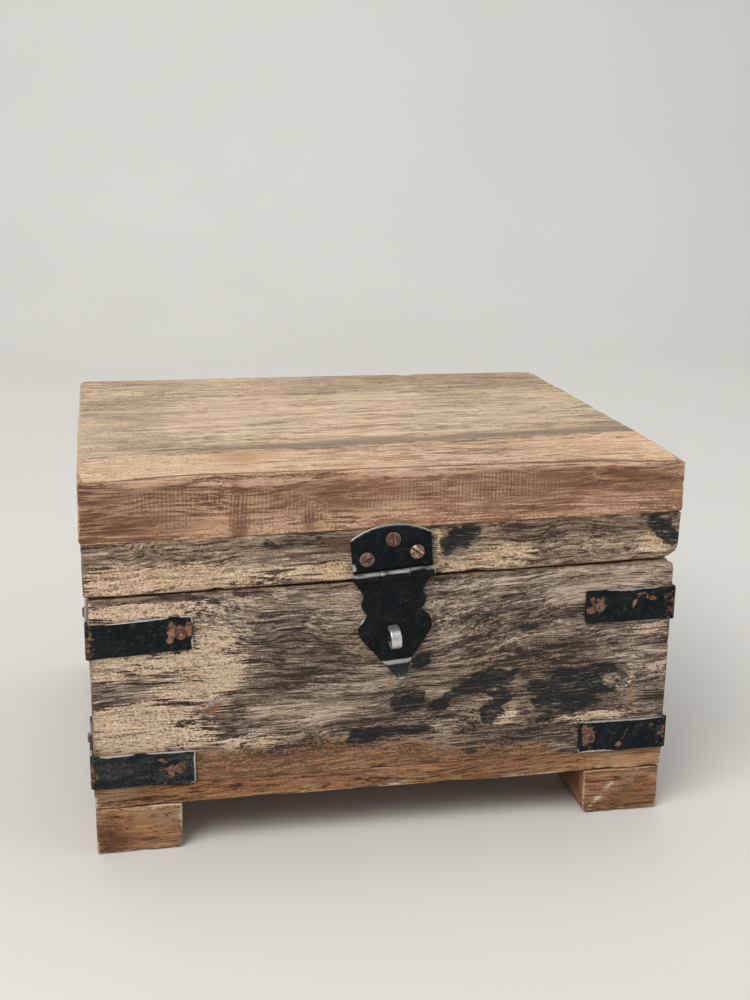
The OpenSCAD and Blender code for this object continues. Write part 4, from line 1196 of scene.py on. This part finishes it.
# %% Turned heads and joining parts
def lathe(profile, turns=28):
    """A profile of (radius, height) turned round the Z axis, closed at both ends."""
    angles = np.arange(turns) * 2 * math.pi / turns
    points = np.array([(r * math.cos(a), r * math.sin(a), h) for r, h in profile for a in angles])
    quads = []
    last = (len(profile) - 1) * turns
    for ring in range(0, last, turns):
        for i in range(turns):
            j = (i + 1) % turns
            quads.append([ring + i, ring + j, ring + turns + j, ring + turns + i])
    return points, quads + [list(range(turns))[::-1], list(range(last, last + turns))], {}


def moved(part, matrix):
    """A part with its points put in place by a matrix. A mirror turns its faces round."""
    points, faces, masks = part
    matrix = np.array(matrix)
    if np.linalg.det(matrix[:3, :3]) < 0:
        faces = [list(face)[::-1] for face in faces]
    return points @ matrix[:3, :3].T + matrix[:3, 3], faces, masks


def frame_at(origin, x_axis, y_axis, z_axis):
    """The matrix that puts a part's own X, Y and Z along three directions."""
    matrix = np.eye(4)
    matrix[:3, :3] = np.array([x_axis, y_axis, z_axis], float).T
    matrix[:3, 3] = origin
    return matrix


def iron_piece(node, body, parts, finish):
    """Joins parts to one piece that stands for a CAD node, with its finish."""
    points = np.concatenate([part[0] for part in parts])
    faces, start = [], 0
    for part_points, part_faces, _ in parts:
        faces += [[int(i) + start for i in face] for face in part_faces]
        start += len(part_points)
    masks = {}
    for title, usual in (("edge", 0.0), ("rust", -1.0), ("bare", 0.0)):
        values = [np.zeros(len(part[0])) + part[2].get(title, usual) for part in parts]
        masks[title] = np.concatenate(values)
    piece = new_piece(node, "_iron", body, points, faces, ("place", points), masks)
    piece.data.materials.append(irons[finish])


print("iron helpers ready")

# %% [markdown]
# ## The eight corner straps
# Each strap is a strip of iron that wraps an upright corner, with a nail in each leg. They
# show the age of the box best: the paint is black with a blue tint that is partly painted
# sheen, its ends are rubbed to bright metal, and rust has bled round the nails in square and
# star-shaped patches. The rust of the four straps in front follows the photograph, given as
# ellipses on the front like the patches of the wood, and the rest is scattered by the same
# random heights.

# %% Straps
NAIL_INSET = 7.0
# rows as for the patches of the wood: rust first, then the edges that are rubbed bright
strap_rust = {
    "front_left_strap_upper": [
        (-90.9, 97.2, 2.8, 4.5), (-85, 97.6, 2.3, 4.2), (-88, 97, 4, 3.2), (-92.5, 93.4, 2, 1.8),
        (-92, 100.4, 1.8, 2), (-125.5, 95, 3.4, 9, 0, 0.35)],
    "front_left_strap_lower": [
        (-93.5, 38, 5, 2.4, 10, 0.6), (-96.5, 41.5, 3.6, 1.5, -40, 0.5), (-94, 34, 4.6, 1.4, 50, 0.5),
        (-89, 38.2, 3.2, 3.2, 0, 0.5), (-86.5, 43, 3.2, 1.3, 0, 0.45), (-90, 43.5, 1, 2, 0, 0.4),
        (-125.5, 38, 2.8, 9, 0, 0.3)],
    "front_right_strap_upper": [
        (91, 99.6, 5, 4.6, 0, 0.6), (88.5, 97.5, 3.4, 3, 0, 0.6), (107.4, 100.5, 1, 4, -20, 0.8),
        (109.5, 104, 3.6, 1.1, 5, 0.8), (112.4, 103, 1, 1.8, 0, 0.7),
        (115.5, 101.5, 2.6, 1.5, -20, 0.7), (124.5, 99, 4.5, 9, 0, 0.3)],
    "front_right_strap_lower": [
        (89.5, 38.5, 3.8, 6.6, 0, 0.7), (88, 42.5, 3, 3, 0, 0.5), (106.8, 39.5, 0.5, 6.4, -26, 2),
        (104, 33.6, 1.9, 1.4), (118, 42.5, 3.4, 1.6, 0, 0.4), (124.5, 38, 4, 9, 0, 0.3)],
}
strap_bright = {
    "front_left_strap_upper": [
        (-105, 104, 16, 3, 3, 1.6), (-84, 103.5, 5, 4, 0, 3.5), (-83, 91, 3, 4, 0, 0.7)],
    "front_left_strap_lower": [
        (-83, 38, 3.5, 14, 0, 5), (-93, 45.5, 12, 2.5, 0, 1.8), (-115, 45.5, 8, 2, 0, 1.3)],
    "front_right_strap_upper": [(104, 106.5, 20, 2.5, 0, 0.35)],
    "front_right_strap_lower": [(92, 30.5, 12, 3, 0, 4), (104, 45.5, 22, 2.5, 0, 1.4)],
}
# how far the front nail of a strap sits from its usual place, to the right and up
nail_moves = {
    "front_left_strap_upper": (2.1, 1.1), "front_left_strap_lower": (0.7, 0.0),
    "front_right_strap_upper": (-0.7, 0.0), "front_right_strap_lower": (-1.8, 0.0),
}


def strap_corner(node):
    """The signs of the box's corner that a strap wraps, and the strap's outer and inner ends there."""
    low, high = low_high(node)
    signs = np.where(low[:2] < 0, -1, 1)
    return signs, np.where(signs < 0, low[:2], high[:2]), np.where(signs < 0, high[:2], low[:2])


def strap_path(node, thickness):
    """The middle line of a strap seen from above, clockwise round the box."""
    signs, outer, inner = strap_corner(node)
    middle = outer - signs * (BEND_R + thickness)
    along_x_leg = np.array([inner[0], outer[1] - signs[1] * thickness / 2])
    along_y_leg = np.array([outer[0] - signs[0] * thickness / 2, inner[1]])
    bend = arc(middle, BEND_R + thickness / 2, 90 * signs[1], 180 * signs[1] if signs[0] < 0 else 0, 9)
    share = np.linspace(0, 1, 30)[:, None]
    path = np.concatenate([along_x_leg + (bend[0] - along_x_leg) * share[:-1], bend,
                           bend[-1] + (along_y_leg - bend[-1]) * share[1:]])
    return path[::-1] if signs[0] * signs[1] < 0 else path


BEND_R, MID_STRAP, FIRST_STRAP_SEED = 0.3, 7.5, 50
STRAP_T = low_high("front_board")[0][1] - low_high("front_left_strap_upper")[0][1]
straps = []
names = itertools.product(("front", "back"), ("left", "right"), ("upper", "lower"))
for seed, (deep, side, height) in enumerate(names, FIRST_STRAP_SEED):
    name = f"{deep}_{side}_strap_{height}"
    low, high = low_high(name)
    path = strap_path(name, STRAP_T)
    points, quads, masks = bent_strip(path, high[2] - low[2], STRAP_T, 0.32, 0.9, corner=1.1)
    points[:, 2] += low[2]
    along, across = masks["flat"][:, 0], masks["flat"][:, 2]
    wavy = 0.35 * bumps(np.column_stack([along / 9, across / 9]), seed)
    inward = np.where(across > MID_STRAP, -1, 1)
    points[:, 2] += wavy * inward * step(np.abs(across - MID_STRAP), 5.5, 7.5)
    rings = [(NAIL_INSET, MID_STRAP, 4.8, 4.0, 10), (along.max() - NAIL_INSET, MID_STRAP, 4.6, 4.4, -15)]
    rust = np.maximum(patch(along, across, rings), spread(points, seed, 0.1, (9, 9, 6)))
    bright = 1.2 * step(rough(points / 16, seed + 9, 2), 0.5, 0.65)
    rubbed = 0.3 * step(rough(points / (14, 14, 3), seed + 3, 2), 0.6, 0.8)
    if name in strap_rust:
        front = points[:, 1] < FRONT + 0.5
        placed_rust, placed_bright = [patch(points[:, 0], points[:, 2], rows[name])
                                      for rows in (strap_rust, strap_bright)]
        rust = np.where(front, placed_rust, rust)
        bright = np.where(front, 4 * np.clip(placed_bright, 0, 1), bright)
        rubbed = rubbed * ~front
    masks["rust"] = rust - 0.15
    masks["edge"] = masks["edge"] * (0.12 + bright)
    masks["bare"] = rubbed
    if name == "front_left_strap_upper":
        points[:, 2] += np.interp(points[:, 0], (-126, -83), (-0.9, 1.6))
    if name == "front_left_strap_lower":
        masks["bare"] = rubbed + 0.23 + 0.14 * rough(points / (8, 8, 1.2), seed, 2)
    straps.append(name)
    iron_piece(name, "box", [(points, quads, masks)], "strap")
print(len(straps), "straps,", STRAP_T.round(2), "mm thick")

# %% [markdown]
# ## Nails
# The nails are hand-set: a domed head, a shallow ring that the hammer left on it, and rust
# all over. The heads are turned, and then knocked a little out of round by the random
# heights, since a perfect row of domes would look new.

# %% Nails
HEAD_R, HEAD_H, RING_R, NAIL_R = 2.5, 1.2, 1.75, 0.9


def nail(seat, inward, length, seed):
    """One nail with its seat at a point, driven inwards."""
    dome = [(0.05, 0.06), (0.75, 0.08), (1.05, 0.42), (1.3, 0.46), (1.5, 0.12), (RING_R, 0), (2.0, 0.12),
            (2.3, 0.6)]
    head = [(r, HEAD_H - drop) for r, drop in dome] + [(HEAD_R, 0.12), (HEAD_R - 0.05, 0.0)]
    head += [(NAIL_R, 0.0), (NAIL_R, 2.5 - length), (NAIL_R * 0.3, -length)]
    points, quads, masks = lathe(head[::-1])
    out = -np.array(inward, float)
    side = np.cross(out, (0.31, 0.82, 0.48))
    side /= np.linalg.norm(side)
    uneven = bumps(points / 1.3 + seed * 3.1, seed) - 0.5
    top = points[:, 2] > 0.05
    points[top, 2] -= 0.12 * (uneven[top] + 0.5)
    points[:, :2] *= 1 - 0.06 * (bumps(points / 2.2 + seed, seed + 1)[:, None]) * top[:, None]
    masks["rust"] = 0.05 + 0.6 * bumps(points / 1.6 + seed, seed + 2) - 0.25
    masks["edge"] = 1.1 * np.exp(-np.abs(np.hypot(points[:, 0], points[:, 1]) - RING_R) / 0.25) * top
    return moved((points, quads, masks), frame_at(seat, side, np.cross(out, side), out))


STRAP_NAIL = 11
nails = []
for name in straps:
    signs, outer, inner = strap_corner(name)
    low, high = low_high(name)
    mid_z = (low[2] + high[2]) / 2
    move_x, move_z = nail_moves.get(name, (0.0, 0.0))
    front_seat = (inner[0] + signs[0] * NAIL_INSET + move_x, outer[1], mid_z + move_z)
    side_seat = (outer[0], inner[1] + signs[1] * NAIL_INSET, mid_z)
    nails.append(nail(front_seat, (0, -signs[1], 0), STRAP_NAIL, len(nails)))
    nails.append(nail(side_seat, (-signs[0], 0, 0), STRAP_NAIL, len(nails)))
iron_piece("strap_nails", "box", nails, "nail")

nail_tip = low_high("bottom_nails")[1][2]
fifth = (BACK - FRONT) / 5
seats = [(x, y) for x in (LEFT / 2, 0.0, RIGHT / 2) for y in (FRONT + WALL / 2, BACK - WALL / 2)]
seats += [(x, (FRONT + BACK) / 2 + y) for x in (LEFT + WALL / 2, RIGHT - WALL / 2) for y in (-fifth, fifth)]
under = [nail((x, y, BASE), (0, 0, 1), nail_tip - BASE, 30 + i) for i, (x, y) in enumerate(seats)]
iron_piece("bottom_nails", "box", under, "nail")
print(len(nails), "strap nails and", len(under), "under the bottom")

# %% [markdown]
# ## The hasp
# The hasp is the face of the box. Its arched upper plate is screwed to the lid; the leaf is
# cut from sheet with shoulders, round lobes and a point, hangs from the pin over the plate,
# and its slot goes over the staple. Both are rolled round the pin at the hinge, so the
# barrel has three knuckles with thin dark joints. It is built flat in its own frame, with
# the pin at height 0 and the wood at depth 0, and then leaned as on the real box.

# %% The frame of the hasp
SHEET_T, SWING = 1.2, 0.3
pin_low, pin_high = low_high("hasp_pin")
pin_middle = (pin_low + pin_high) / 2
LEAN = math.radians(4.7)
hasp_out = FRONT - pin_middle[1]
BARREL_R = hasp_out - SWING
lean = Matrix.Rotation(-LEAN, 4, "Y")
at_hasp = np.array(Matrix.Translation((pin_middle[0], FRONT, pin_middle[2])) @ lean)
# a flat part has X across, Y up and Z out of the wood
stand_up = at_hasp @ frame_at((0, 0, 0), (1, 0, 0), (0, 0, 1), (0, -1, 0))
# a strip has its path in Y and Z and its width along X
roll_up = at_hasp @ frame_at((0, 0, 0), (0, 1, 0), (0, 0, 1), (1, 0, 0))
print("pin at", pin_middle.round(2), "and", round(hasp_out, 2), "mm out of the wood")

# %% The knuckles
PIN_R, HOLE_PLAY = 0.95, 0.05


def knuckle(x_from, x_to, sheet_y, up, middle_y=-hasp_out, barrel_r=BARREL_R, hole_r=PIN_R + HOLE_PLAY,
            tail=3.0, matrix=roll_up):
    """Sheet rolled round the pin: a short tail in the sheet, then most of a turn. up is 1 for a
    sheet that comes from below and -1 for one that comes from above."""
    thickness = barrel_r - hole_r
    radius = hole_r + thickness / 2
    out = 1 if sheet_y > middle_y else -1
    turns = np.radians(np.linspace(0, 306, 60))
    ring = np.stack([middle_y + out * radius * np.cos(turns), up * radius * np.sin(turns)], 1)
    tail_y = sheet_y + (ring[0, 0] - sheet_y) * step(np.linspace(0, 1, 8), 0, 1)[:-1]
    start = np.stack([tail_y, -up * np.linspace(tail, 0, 8)[:-1]], 1)
    points, quads, masks = bent_strip(np.concatenate([start, ring]), x_to - x_from, thickness, 0.22, 0.7)
    points[:, 2] += x_from
    masks["edge"] = 0.5 * masks["edge"]
    # the upper outer side of each knuckle is made streaky bare metal: a painted highlight
    painted_highlight = step(points[:, 1] / barrel_r, -0.05, 0.5)
    painted_highlight = painted_highlight * step((middle_y - points[:, 0]) * out / barrel_r, -0.6, 0.2)
    streaks = rough(points / (0.7, 0.7, 3.5), int(abs(x_from) * 7) + 3, 2)
    masks["bare"] = painted_highlight * (0.10 + 0.78 * streaks)
    return moved((points, quads, masks), matrix)


HALF_W, LEAF_FROM, LEAF_TO, KNUCKLE_GAP = 17.0, -6.1, 6.7, 0.2
print("knuckle thickness", round(BARREL_R - PIN_R - HOLE_PLAY, 2), "mm")

# %% The upper plate
CORNER_H, ARCH_H = 16.5, 21.5
arch_r = (HALF_W**2 + (ARCH_H - CORNER_H) ** 2) / (2 * (ARCH_H - CORNER_H))
half_angle = math.degrees(math.asin(HALF_W / arch_r))
arch = arc((0, ARCH_H - arch_r), arch_r, 90 - half_angle, 90 + half_angle, 40)
NOTCH_LEFT, NOTCH_RIGHT = LEAF_FROM - KNUCKLE_GAP, LEAF_TO + KNUCKLE_GAP
FOOT_UP, NOTCH_UP = 1.2, 2.1
foot = [(-HALF_W, FOOT_UP), (NOTCH_LEFT, FOOT_UP), (NOTCH_LEFT, NOTCH_UP),
        (NOTCH_RIGHT, NOTCH_UP), (NOTCH_RIGHT, FOOT_UP), (HALF_W, FOOT_UP)]
outline = even(np.concatenate([foot, arch]), 0.55)
points, faces, masks = cut_sheet([outline], SHEET_T)
points[:, 2] -= 0.12 * rough(points / 11, 5, 2) * (points[:, 2] > 0.5)
# the arch and the lower left foot of the plate are made bright bare metal: partly worn edge, partly painted
# highlight where these edges face the window
from_arch = np.abs(np.hypot(points[:, 0], points[:, 1] - ARCH_H + arch_r) - arch_r)
lower_left = step(-points[:, 0], 15.3, 16) * step(7 - points[:, 1], 0, 2)
masks["bare"] = 1.3 * np.exp(-((from_arch / 0.34) ** 2)) + lower_left
masks["edge"] = 0.3 * masks["edge"]
masks["rust"] = np.clip(spread(points, 61, 0.03, (4, 4, 4)), -1, 0.3)
plate_parts = [moved((points, faces, masks), stand_up)]
plate_parts.append(knuckle(-HALF_W, NOTCH_LEFT, -SHEET_T / 2, -1))
plate_parts.append(knuckle(NOTCH_RIGHT, HALF_W, -SHEET_T / 2, -1))
iron_piece("hasp_plate", "lid", plate_parts, "hasp")
print("arch radius", round(arch_r, 1), "mm")

# %% The leaf
LEAF_TOP, LEAF_LEN, LEAF_GAP = 2.45, 47.0, 0.2
BEND_DROP, TIP_ANGLE, TIP_R = 38.8, math.radians(22), 2.7
LOBE_AT, LOBE_SIDE, LOBE_R, LOBE_END, TIP_FROM = 23.6, 9.2, 6.6, math.radians(35), math.radians(33)
profile_corners = np.array([
    (LEAF_TOP, 16.4), (7.8, 12.8), (17.6, 11.6),
    (LOBE_AT + LOBE_R * math.sin(LOBE_END), LOBE_SIDE + LOBE_R * math.cos(LOBE_END)), (BEND_DROP, 6.1),
    (LEAF_LEN - TIP_R + TIP_R * math.sin(TIP_FROM), TIP_R * math.cos(TIP_FROM))])
SHOULDER, LOBE, TIP = (12.4, 4.6, 13.8), (LOBE_AT, LOBE_R, 15.8), (LEAF_LEN - TIP_R, TIP_R, TIP_R)


def half_width(depth):
    """Half the width of the leaf at a depth below the pin: straight sides and three round forms,
    each with its depth, its radius and how far it reaches from the middle."""
    width = np.interp(depth, profile_corners[:, 0], profile_corners[:, 1], right=0)
    for drop, radius, reach in (SHOULDER, LOBE, TIP):
        chord = np.sqrt(np.clip(radius**2 - (depth - drop) ** 2, 0, None))
        width = np.maximum(width, np.where(chord > 0, reach - radius + chord, 0))
    return width


tip = LEAF_LEN - TIP_R + TIP_R * np.sin(np.radians(np.linspace(33, 88, 8)))
depths = np.concatenate([np.arange(LEAF_TOP, tip[0], 0.42), tip])
left_side = np.stack([-half_width(depths), -depths], 1)
outline = even(np.concatenate([left_side, (left_side * (-1, 1))[::-1]]), 0.6)
SLOT_X, SLOT_Y, SLOT_W, SLOT_H, SLOT_SHIFT = -1.9, -27.2, 5.6, 11.6, 0.93
hole_x, half_straight = SLOT_X + SLOT_SHIFT, (SLOT_H - SLOT_W) / 2
slot_hole = np.concatenate([arc((hole_x, SLOT_Y + half_straight), SLOT_W / 2, 180, 0, 14),
                            arc((hole_x, SLOT_Y - half_straight), SLOT_W / 2, 0, -180, 14)])
points, faces, masks = cut_sheet([outline, even(slot_hole, 0.6)], SHEET_T)
depth = -points[:, 1]
# the bright bare line along the bend of the tip is a painted highlight
bend_highlight = np.exp(-((depth - BEND_DROP) / 0.75) ** 2)
on_tip = step(depth, BEND_DROP - 0.5, BEND_DROP + 1.5)
masks["bare"] = 1.2 * bend_highlight + 0.31 * on_tip + 0.9 * np.exp(-np.abs(depth - LEAF_LEN + 0.2) / 0.35)
scraped = np.exp(-(((depth - 19.5) / 2) ** 2)) * (points[:, 0] < -6)
masks["edge"] = masks["edge"] * (0.2 + 0.6 * on_tip + 0.7 * scraped)
SIDE_SWAY = [(LEAF_TOP, 0), (8, -0.6), (LOBE_AT, -0.9), (BEND_DROP, -1.05), (43, -0.4), (LEAF_LEN, 0)]
points[:, 0] += np.interp(depth, *zip(*SIDE_SWAY))
height_out = points[:, 2] - 0.12 * rough(points / 13, 8, 2) * (points[:, 2] > 0.5)

# below the bend the sheet turns out on a small radius
BEND_RUN = 1.8
past_bend = np.clip(depth - BEND_DROP + BEND_RUN / 2, 0, None)
angle = TIP_ANGLE * np.clip(past_bend / BEND_RUN, 0, 1)
in_bend, straight_run = past_bend < BEND_RUN, past_bend - BEND_RUN
down = np.where(in_bend, past_bend - past_bend * angle**2 / 6,
                BEND_RUN * (1 - TIP_ANGLE**2 / 6) + straight_run * math.cos(TIP_ANGLE))
out = np.where(in_bend, past_bend * angle / 2, BEND_RUN * TIP_ANGLE / 2 + straight_run * math.sin(TIP_ANGLE))
up = -(depth - past_bend + down) + height_out * np.sin(angle) * 0.9
placed = np.column_stack([points[:, 0], up, LEAF_GAP + out + height_out * np.cos(angle)])
leaf_parts = [moved((placed, faces, masks), stand_up)]
leaf_parts.append(knuckle(LEAF_FROM, LEAF_TO, -LEAF_GAP - SHEET_T / 2, 1, tail=3.4))
iron_piece("hasp_leaf", "hasp", leaf_parts, "hasp")
print("leaf", len(placed), "points, lowest", round(float(leaf_parts[0][0][:, 2].min()), 2))

# %% The pin of the hasp
BUTTON_H = 0.55


def peened_pin(half_length, radius, middle, direction):
    """A pin whose ends are hammered to flat buttons."""
    button = radius + 0.35
    rows = [(0.05, BUTTON_H), (0.6 * button, 0.5), (button - 0.1, 0.32), (button, 0.12),
            (button - 0.06, 0.0), (radius, -0.02)]
    profile = [(r, half_length + h) for r, h in rows[::-1]]
    profile = [(r, -h) for r, h in profile[::-1]] + profile
    points, faces, masks = lathe(profile, 20)
    along = np.array(direction, float)
    side = np.cross(along, (0, 1, 0))
    side /= np.linalg.norm(side)
    masks["edge"] = np.exp(-np.abs(np.abs(points[:, 2]) - half_length - 0.2) / 0.3)
    return moved((points, faces, masks), frame_at(middle, side, np.cross(along, side), along))


pin_way = (at_hasp[:3, 0]).tolist()
iron_piece("hasp_pin", "lid", [peened_pin(HALF_W, PIN_R, pin_middle, pin_way)], "hasp")
print("pin along", np.round(pin_way, 3))

# %% [markdown]
# ## Slotted screws
# Three screws hold the plate, with low domed heads and one slot each, turned as the hand left
# them. The head is ruled in lines along its slot, with a pair of lines at each wall of the
# slot, so the slot is cut sharp with few points.

# %% Screws
SCREW_R, SCREW_H, SCREW_L, SLOT_HALF = 3.1, 1.5, 11.0, 0.42


def screw(matrix, slot_angle, seed, scrape=0.4):
    """A screw with its seat at the origin of a matrix and its head along +Z."""
    rows = np.array([0.035, 0.12, 0.25, 0.42, 0.6, 0.76]) * SCREW_R
    walls = [-SLOT_HALF, -SLOT_HALF + 0.06, 0, SLOT_HALF - 0.06, SLOT_HALF]
    across = np.concatenate([-rows[::-1] - SLOT_HALF + 0.1, walls, rows + SLOT_HALF - 0.1])
    edge_row = SCREW_R * 0.985
    across = np.concatenate([[-edge_row], across[np.abs(across) < edge_row - 0.15], [edge_row]])
    along = np.sin(np.linspace(-1, 1, 21) * math.pi / 2)
    v = np.repeat(across, len(along))
    u = np.tile(along, len(across)) * np.sqrt(np.clip(SCREW_R**2 - v**2, 0.02, None))
    from_middle = np.hypot(u, v) / SCREW_R
    height = SCREW_H * (0.42 + 0.58 * np.sqrt(np.clip(1 - from_middle**2.4, 0, 1)))
    in_slot = np.abs(v) < SLOT_HALF - 0.03
    flat = np.column_stack([u, v])
    height = np.where(in_slot, np.minimum(height, SCREW_H * 0.5), height) - 0.07 * bumps(flat / 0.9, seed)
    top = np.column_stack([u, v, height])
    count, wide = len(across), len(along)
    number = np.arange(len(top)).reshape(count, wide)
    quads = np.stack([number[:-1, :-1], number[:-1, 1:], number[1:, 1:], number[1:, :-1]], -1)
    quads = quads.reshape(-1, 4).tolist()
    rim = np.concatenate([number[0], number[1:, -1], number[-1, -2::-1], number[-2:0:-1, 0]])
    skirt = top[rim].copy()
    skirt[:, 2] = 0
    base = len(top) + np.arange(len(rim))
    nxt = np.roll(np.arange(len(rim)), -1)
    quads += [[int(rim[nxt[i]]), int(rim[i]), int(base[i]), int(base[nxt[i]])] for i in range(len(rim))]
    quads.append(base[::-1].tolist())
    points = np.concatenate([top, skirt])
    scraped = 0.9 * scrape * step(bumps(flat / (3.5, 0.45), seed + 4), 0.45, 0.6)
    slot_edge = np.exp(-np.abs(np.abs(v) - SLOT_HALF) / 0.2) * 0.7
    # in the slot the head has no rust, no bare metal and no bright edge, so it keeps the dark brown base:
    # painted shade in the slot
    masks = {"edge": (0, slot_edge + np.exp(-(1 - from_middle) / 0.1) * 0.9, 0.0), "bare": (0, scraped, 0.0),
             "rust": (-1.0, 0.8 * bumps(flat / 1.2, seed + 1) - 0.35, 0.5)}
    for title, (slotted, head, skirted) in masks.items():
        masks[title] = np.concatenate([np.where(in_slot, slotted, head), np.full(len(rim), skirted)])
    turned = np.array(matrix) @ np.array(Matrix.Rotation(math.radians(slot_angle), 4, "Z"))
    shank = lathe([(0.4, -SCREW_L), (1.4, 2.5 - SCREW_L), (1.4, 0.0)], 16)
    return [moved((points, quads, masks), turned), moved(shank, turned)]


hasp_screws = []
placed_screws = [(0.7, 15, 90, 0.2), (-10.8, 7.6, 20, 0.4), (10.5, 8.4, -40, 1.2)]
for i, (x, up, slot_angle, scrape) in enumerate(placed_screws):
    seat = stand_up @ np.array(Matrix.Translation((x, up, SHEET_T)))
    hasp_screws += screw(seat, slot_angle, i, scrape)
iron_piece("hasp_screws", "lid", hasp_screws, "screw")
print(len(hasp_screws) // 2, "screws in the plate")

# %% [markdown]
# ## The staple
# The only bright piece: a zinc-plated band bent to a loop and driven into the wood through
# the slot of the leaf. Its flat face catches the window as a white streak.

# %% The staple
STAPLE_REACH, STAPLE_T, STAPLE_W, STAPLE_H = 8.6, 1.5, 4.5, 9.0
loop_r = STAPLE_H / 2
straight = -(STAPLE_REACH - loop_r)
bow = arc((straight, 0), loop_r - STAPLE_T / 2, 90, 270, 30)
legs = [(y, (loop_r - STAPLE_T / 2)) for y in np.linspace(11.0, straight, 20)[:-1]]
path = np.concatenate([legs, bow, [(y, -z) for y, z in legs[::-1]]])
points, quads, masks = bent_strip(path, STAPLE_W, STAPLE_T, 0.45, 0.6)
points[:, 2] += SLOT_X - STAPLE_W / 2
points[:, 1] += SLOT_Y
masks["bare"] = 0.9
iron_piece("staple", "box", [moved((points, quads, masks), roll_up)], "zinc")
print("staple", len(points), "points")

# %% [markdown]
# ## The two hinges at the back
# The photograph doesn't show them, but a lid needs them: plain butt hinges of the same black
# iron, with five knuckles each. They are made with the helpers of the hasp.

# %% Back hinges
KNUCKLE_R, HINGE_T, LEAF_H, CUT_CORNER, HINGE_PIN_R, KNUCKLES = 2.5, 1.2, 14.0, 1.2, 1.2, 5
FROM_SIDE, FROM_RIM = 7, 5
hinge_tilt = math.atan2(float(wall_top(RIGHT) - wall_top(LEFT)), RIGHT - LEFT)
hinge_screws = {"lid": [], "box": []}
for side in ("left", "right"):
    low, high = low_high(f"{side}_hinge_pin")
    middle = (low + high) / 2
    hinge_out = middle[1] - BACK
    tilt = Matrix.Rotation(-hinge_tilt, 4, "Y")
    at_hinge = np.array(Matrix.Translation((middle[0], BACK, middle[2])) @ tilt)
    roll_hinge = at_hinge @ frame_at((0, 0, 0), (0, 1, 0), (0, 0, 1), (1, 0, 0))
    hinge_half = ((high[0] - low[0]) / math.cos(hinge_tilt) - 2 * BUTTON_H) / 2
    pitch = 2 * hinge_half / KNUCKLES
    leaf_foot, leaf_side = hinge_out + 0.3, LEAF_H - CUT_CORNER
    outline = even(np.array([
        (-hinge_half, leaf_foot), (hinge_half, leaf_foot), (hinge_half, leaf_side),
        (hinge_half - CUT_CORNER, LEAF_H), (-hinge_half + CUT_CORNER, LEAF_H), (-hinge_half, leaf_side)]))
    for body, first, up in (("lid", 1, 1), ("box", 0, -1)):
        plate = cut_sheet([outline], HINGE_T)
        plate[2]["rust"] = np.clip(spread(plate[0], len(side) + first, 0.1, (5, 5, 5)), -1, 0.4)
        parts = [moved(plate, at_hinge @ frame_at((0, 0, 0), (-1, 0, 0), (0, 0, up), (0, 1, 0)))]
        for i in range(first, KNUCKLES, 2):
            start = -hinge_half + i * pitch + KNUCKLE_GAP / 2
            parts.append(knuckle(start, start + pitch - KNUCKLE_GAP, HINGE_T / 2, -up, hinge_out, KNUCKLE_R,
                                 HINGE_PIN_R + HOLE_PLAY, 4.0, roll_hinge))
        for end in (-1, 1):
            seat = (end * (hinge_half - FROM_SIDE), HINGE_T, up * (LEAF_H - FROM_RIM))
            stand = at_hinge @ frame_at(seat, (1, 0, 0), (0, 0, -1), (0, 1, 0))
            slot_angle = (-30 if side == "left" else 30) + 25 * end
            hinge_screws[body] += screw(stand, slot_angle, 9 + end + up)
        iron_piece(f"{side}_hinge_{body}_leaf", body, parts, "hinge")
    pin = peened_pin(hinge_half, HINGE_PIN_R, middle, at_hinge[:3, 0])
    iron_piece(f"{side}_hinge_pin", "box", [pin], "hinge")
for body, screws in hinge_screws.items():
    iron_piece(f"{body}_hinge_screws", body, screws, "screw")
# the nails of the feet stay as the model has them and only get their finish
foot_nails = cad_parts["foot_nails"]
foot_nails.data.materials.clear()
foot_nails.data.materials.append(irons["nail"])
print("hinge half length", round(hinge_half, 2), "tilt", round(math.degrees(hinge_tilt), 2))
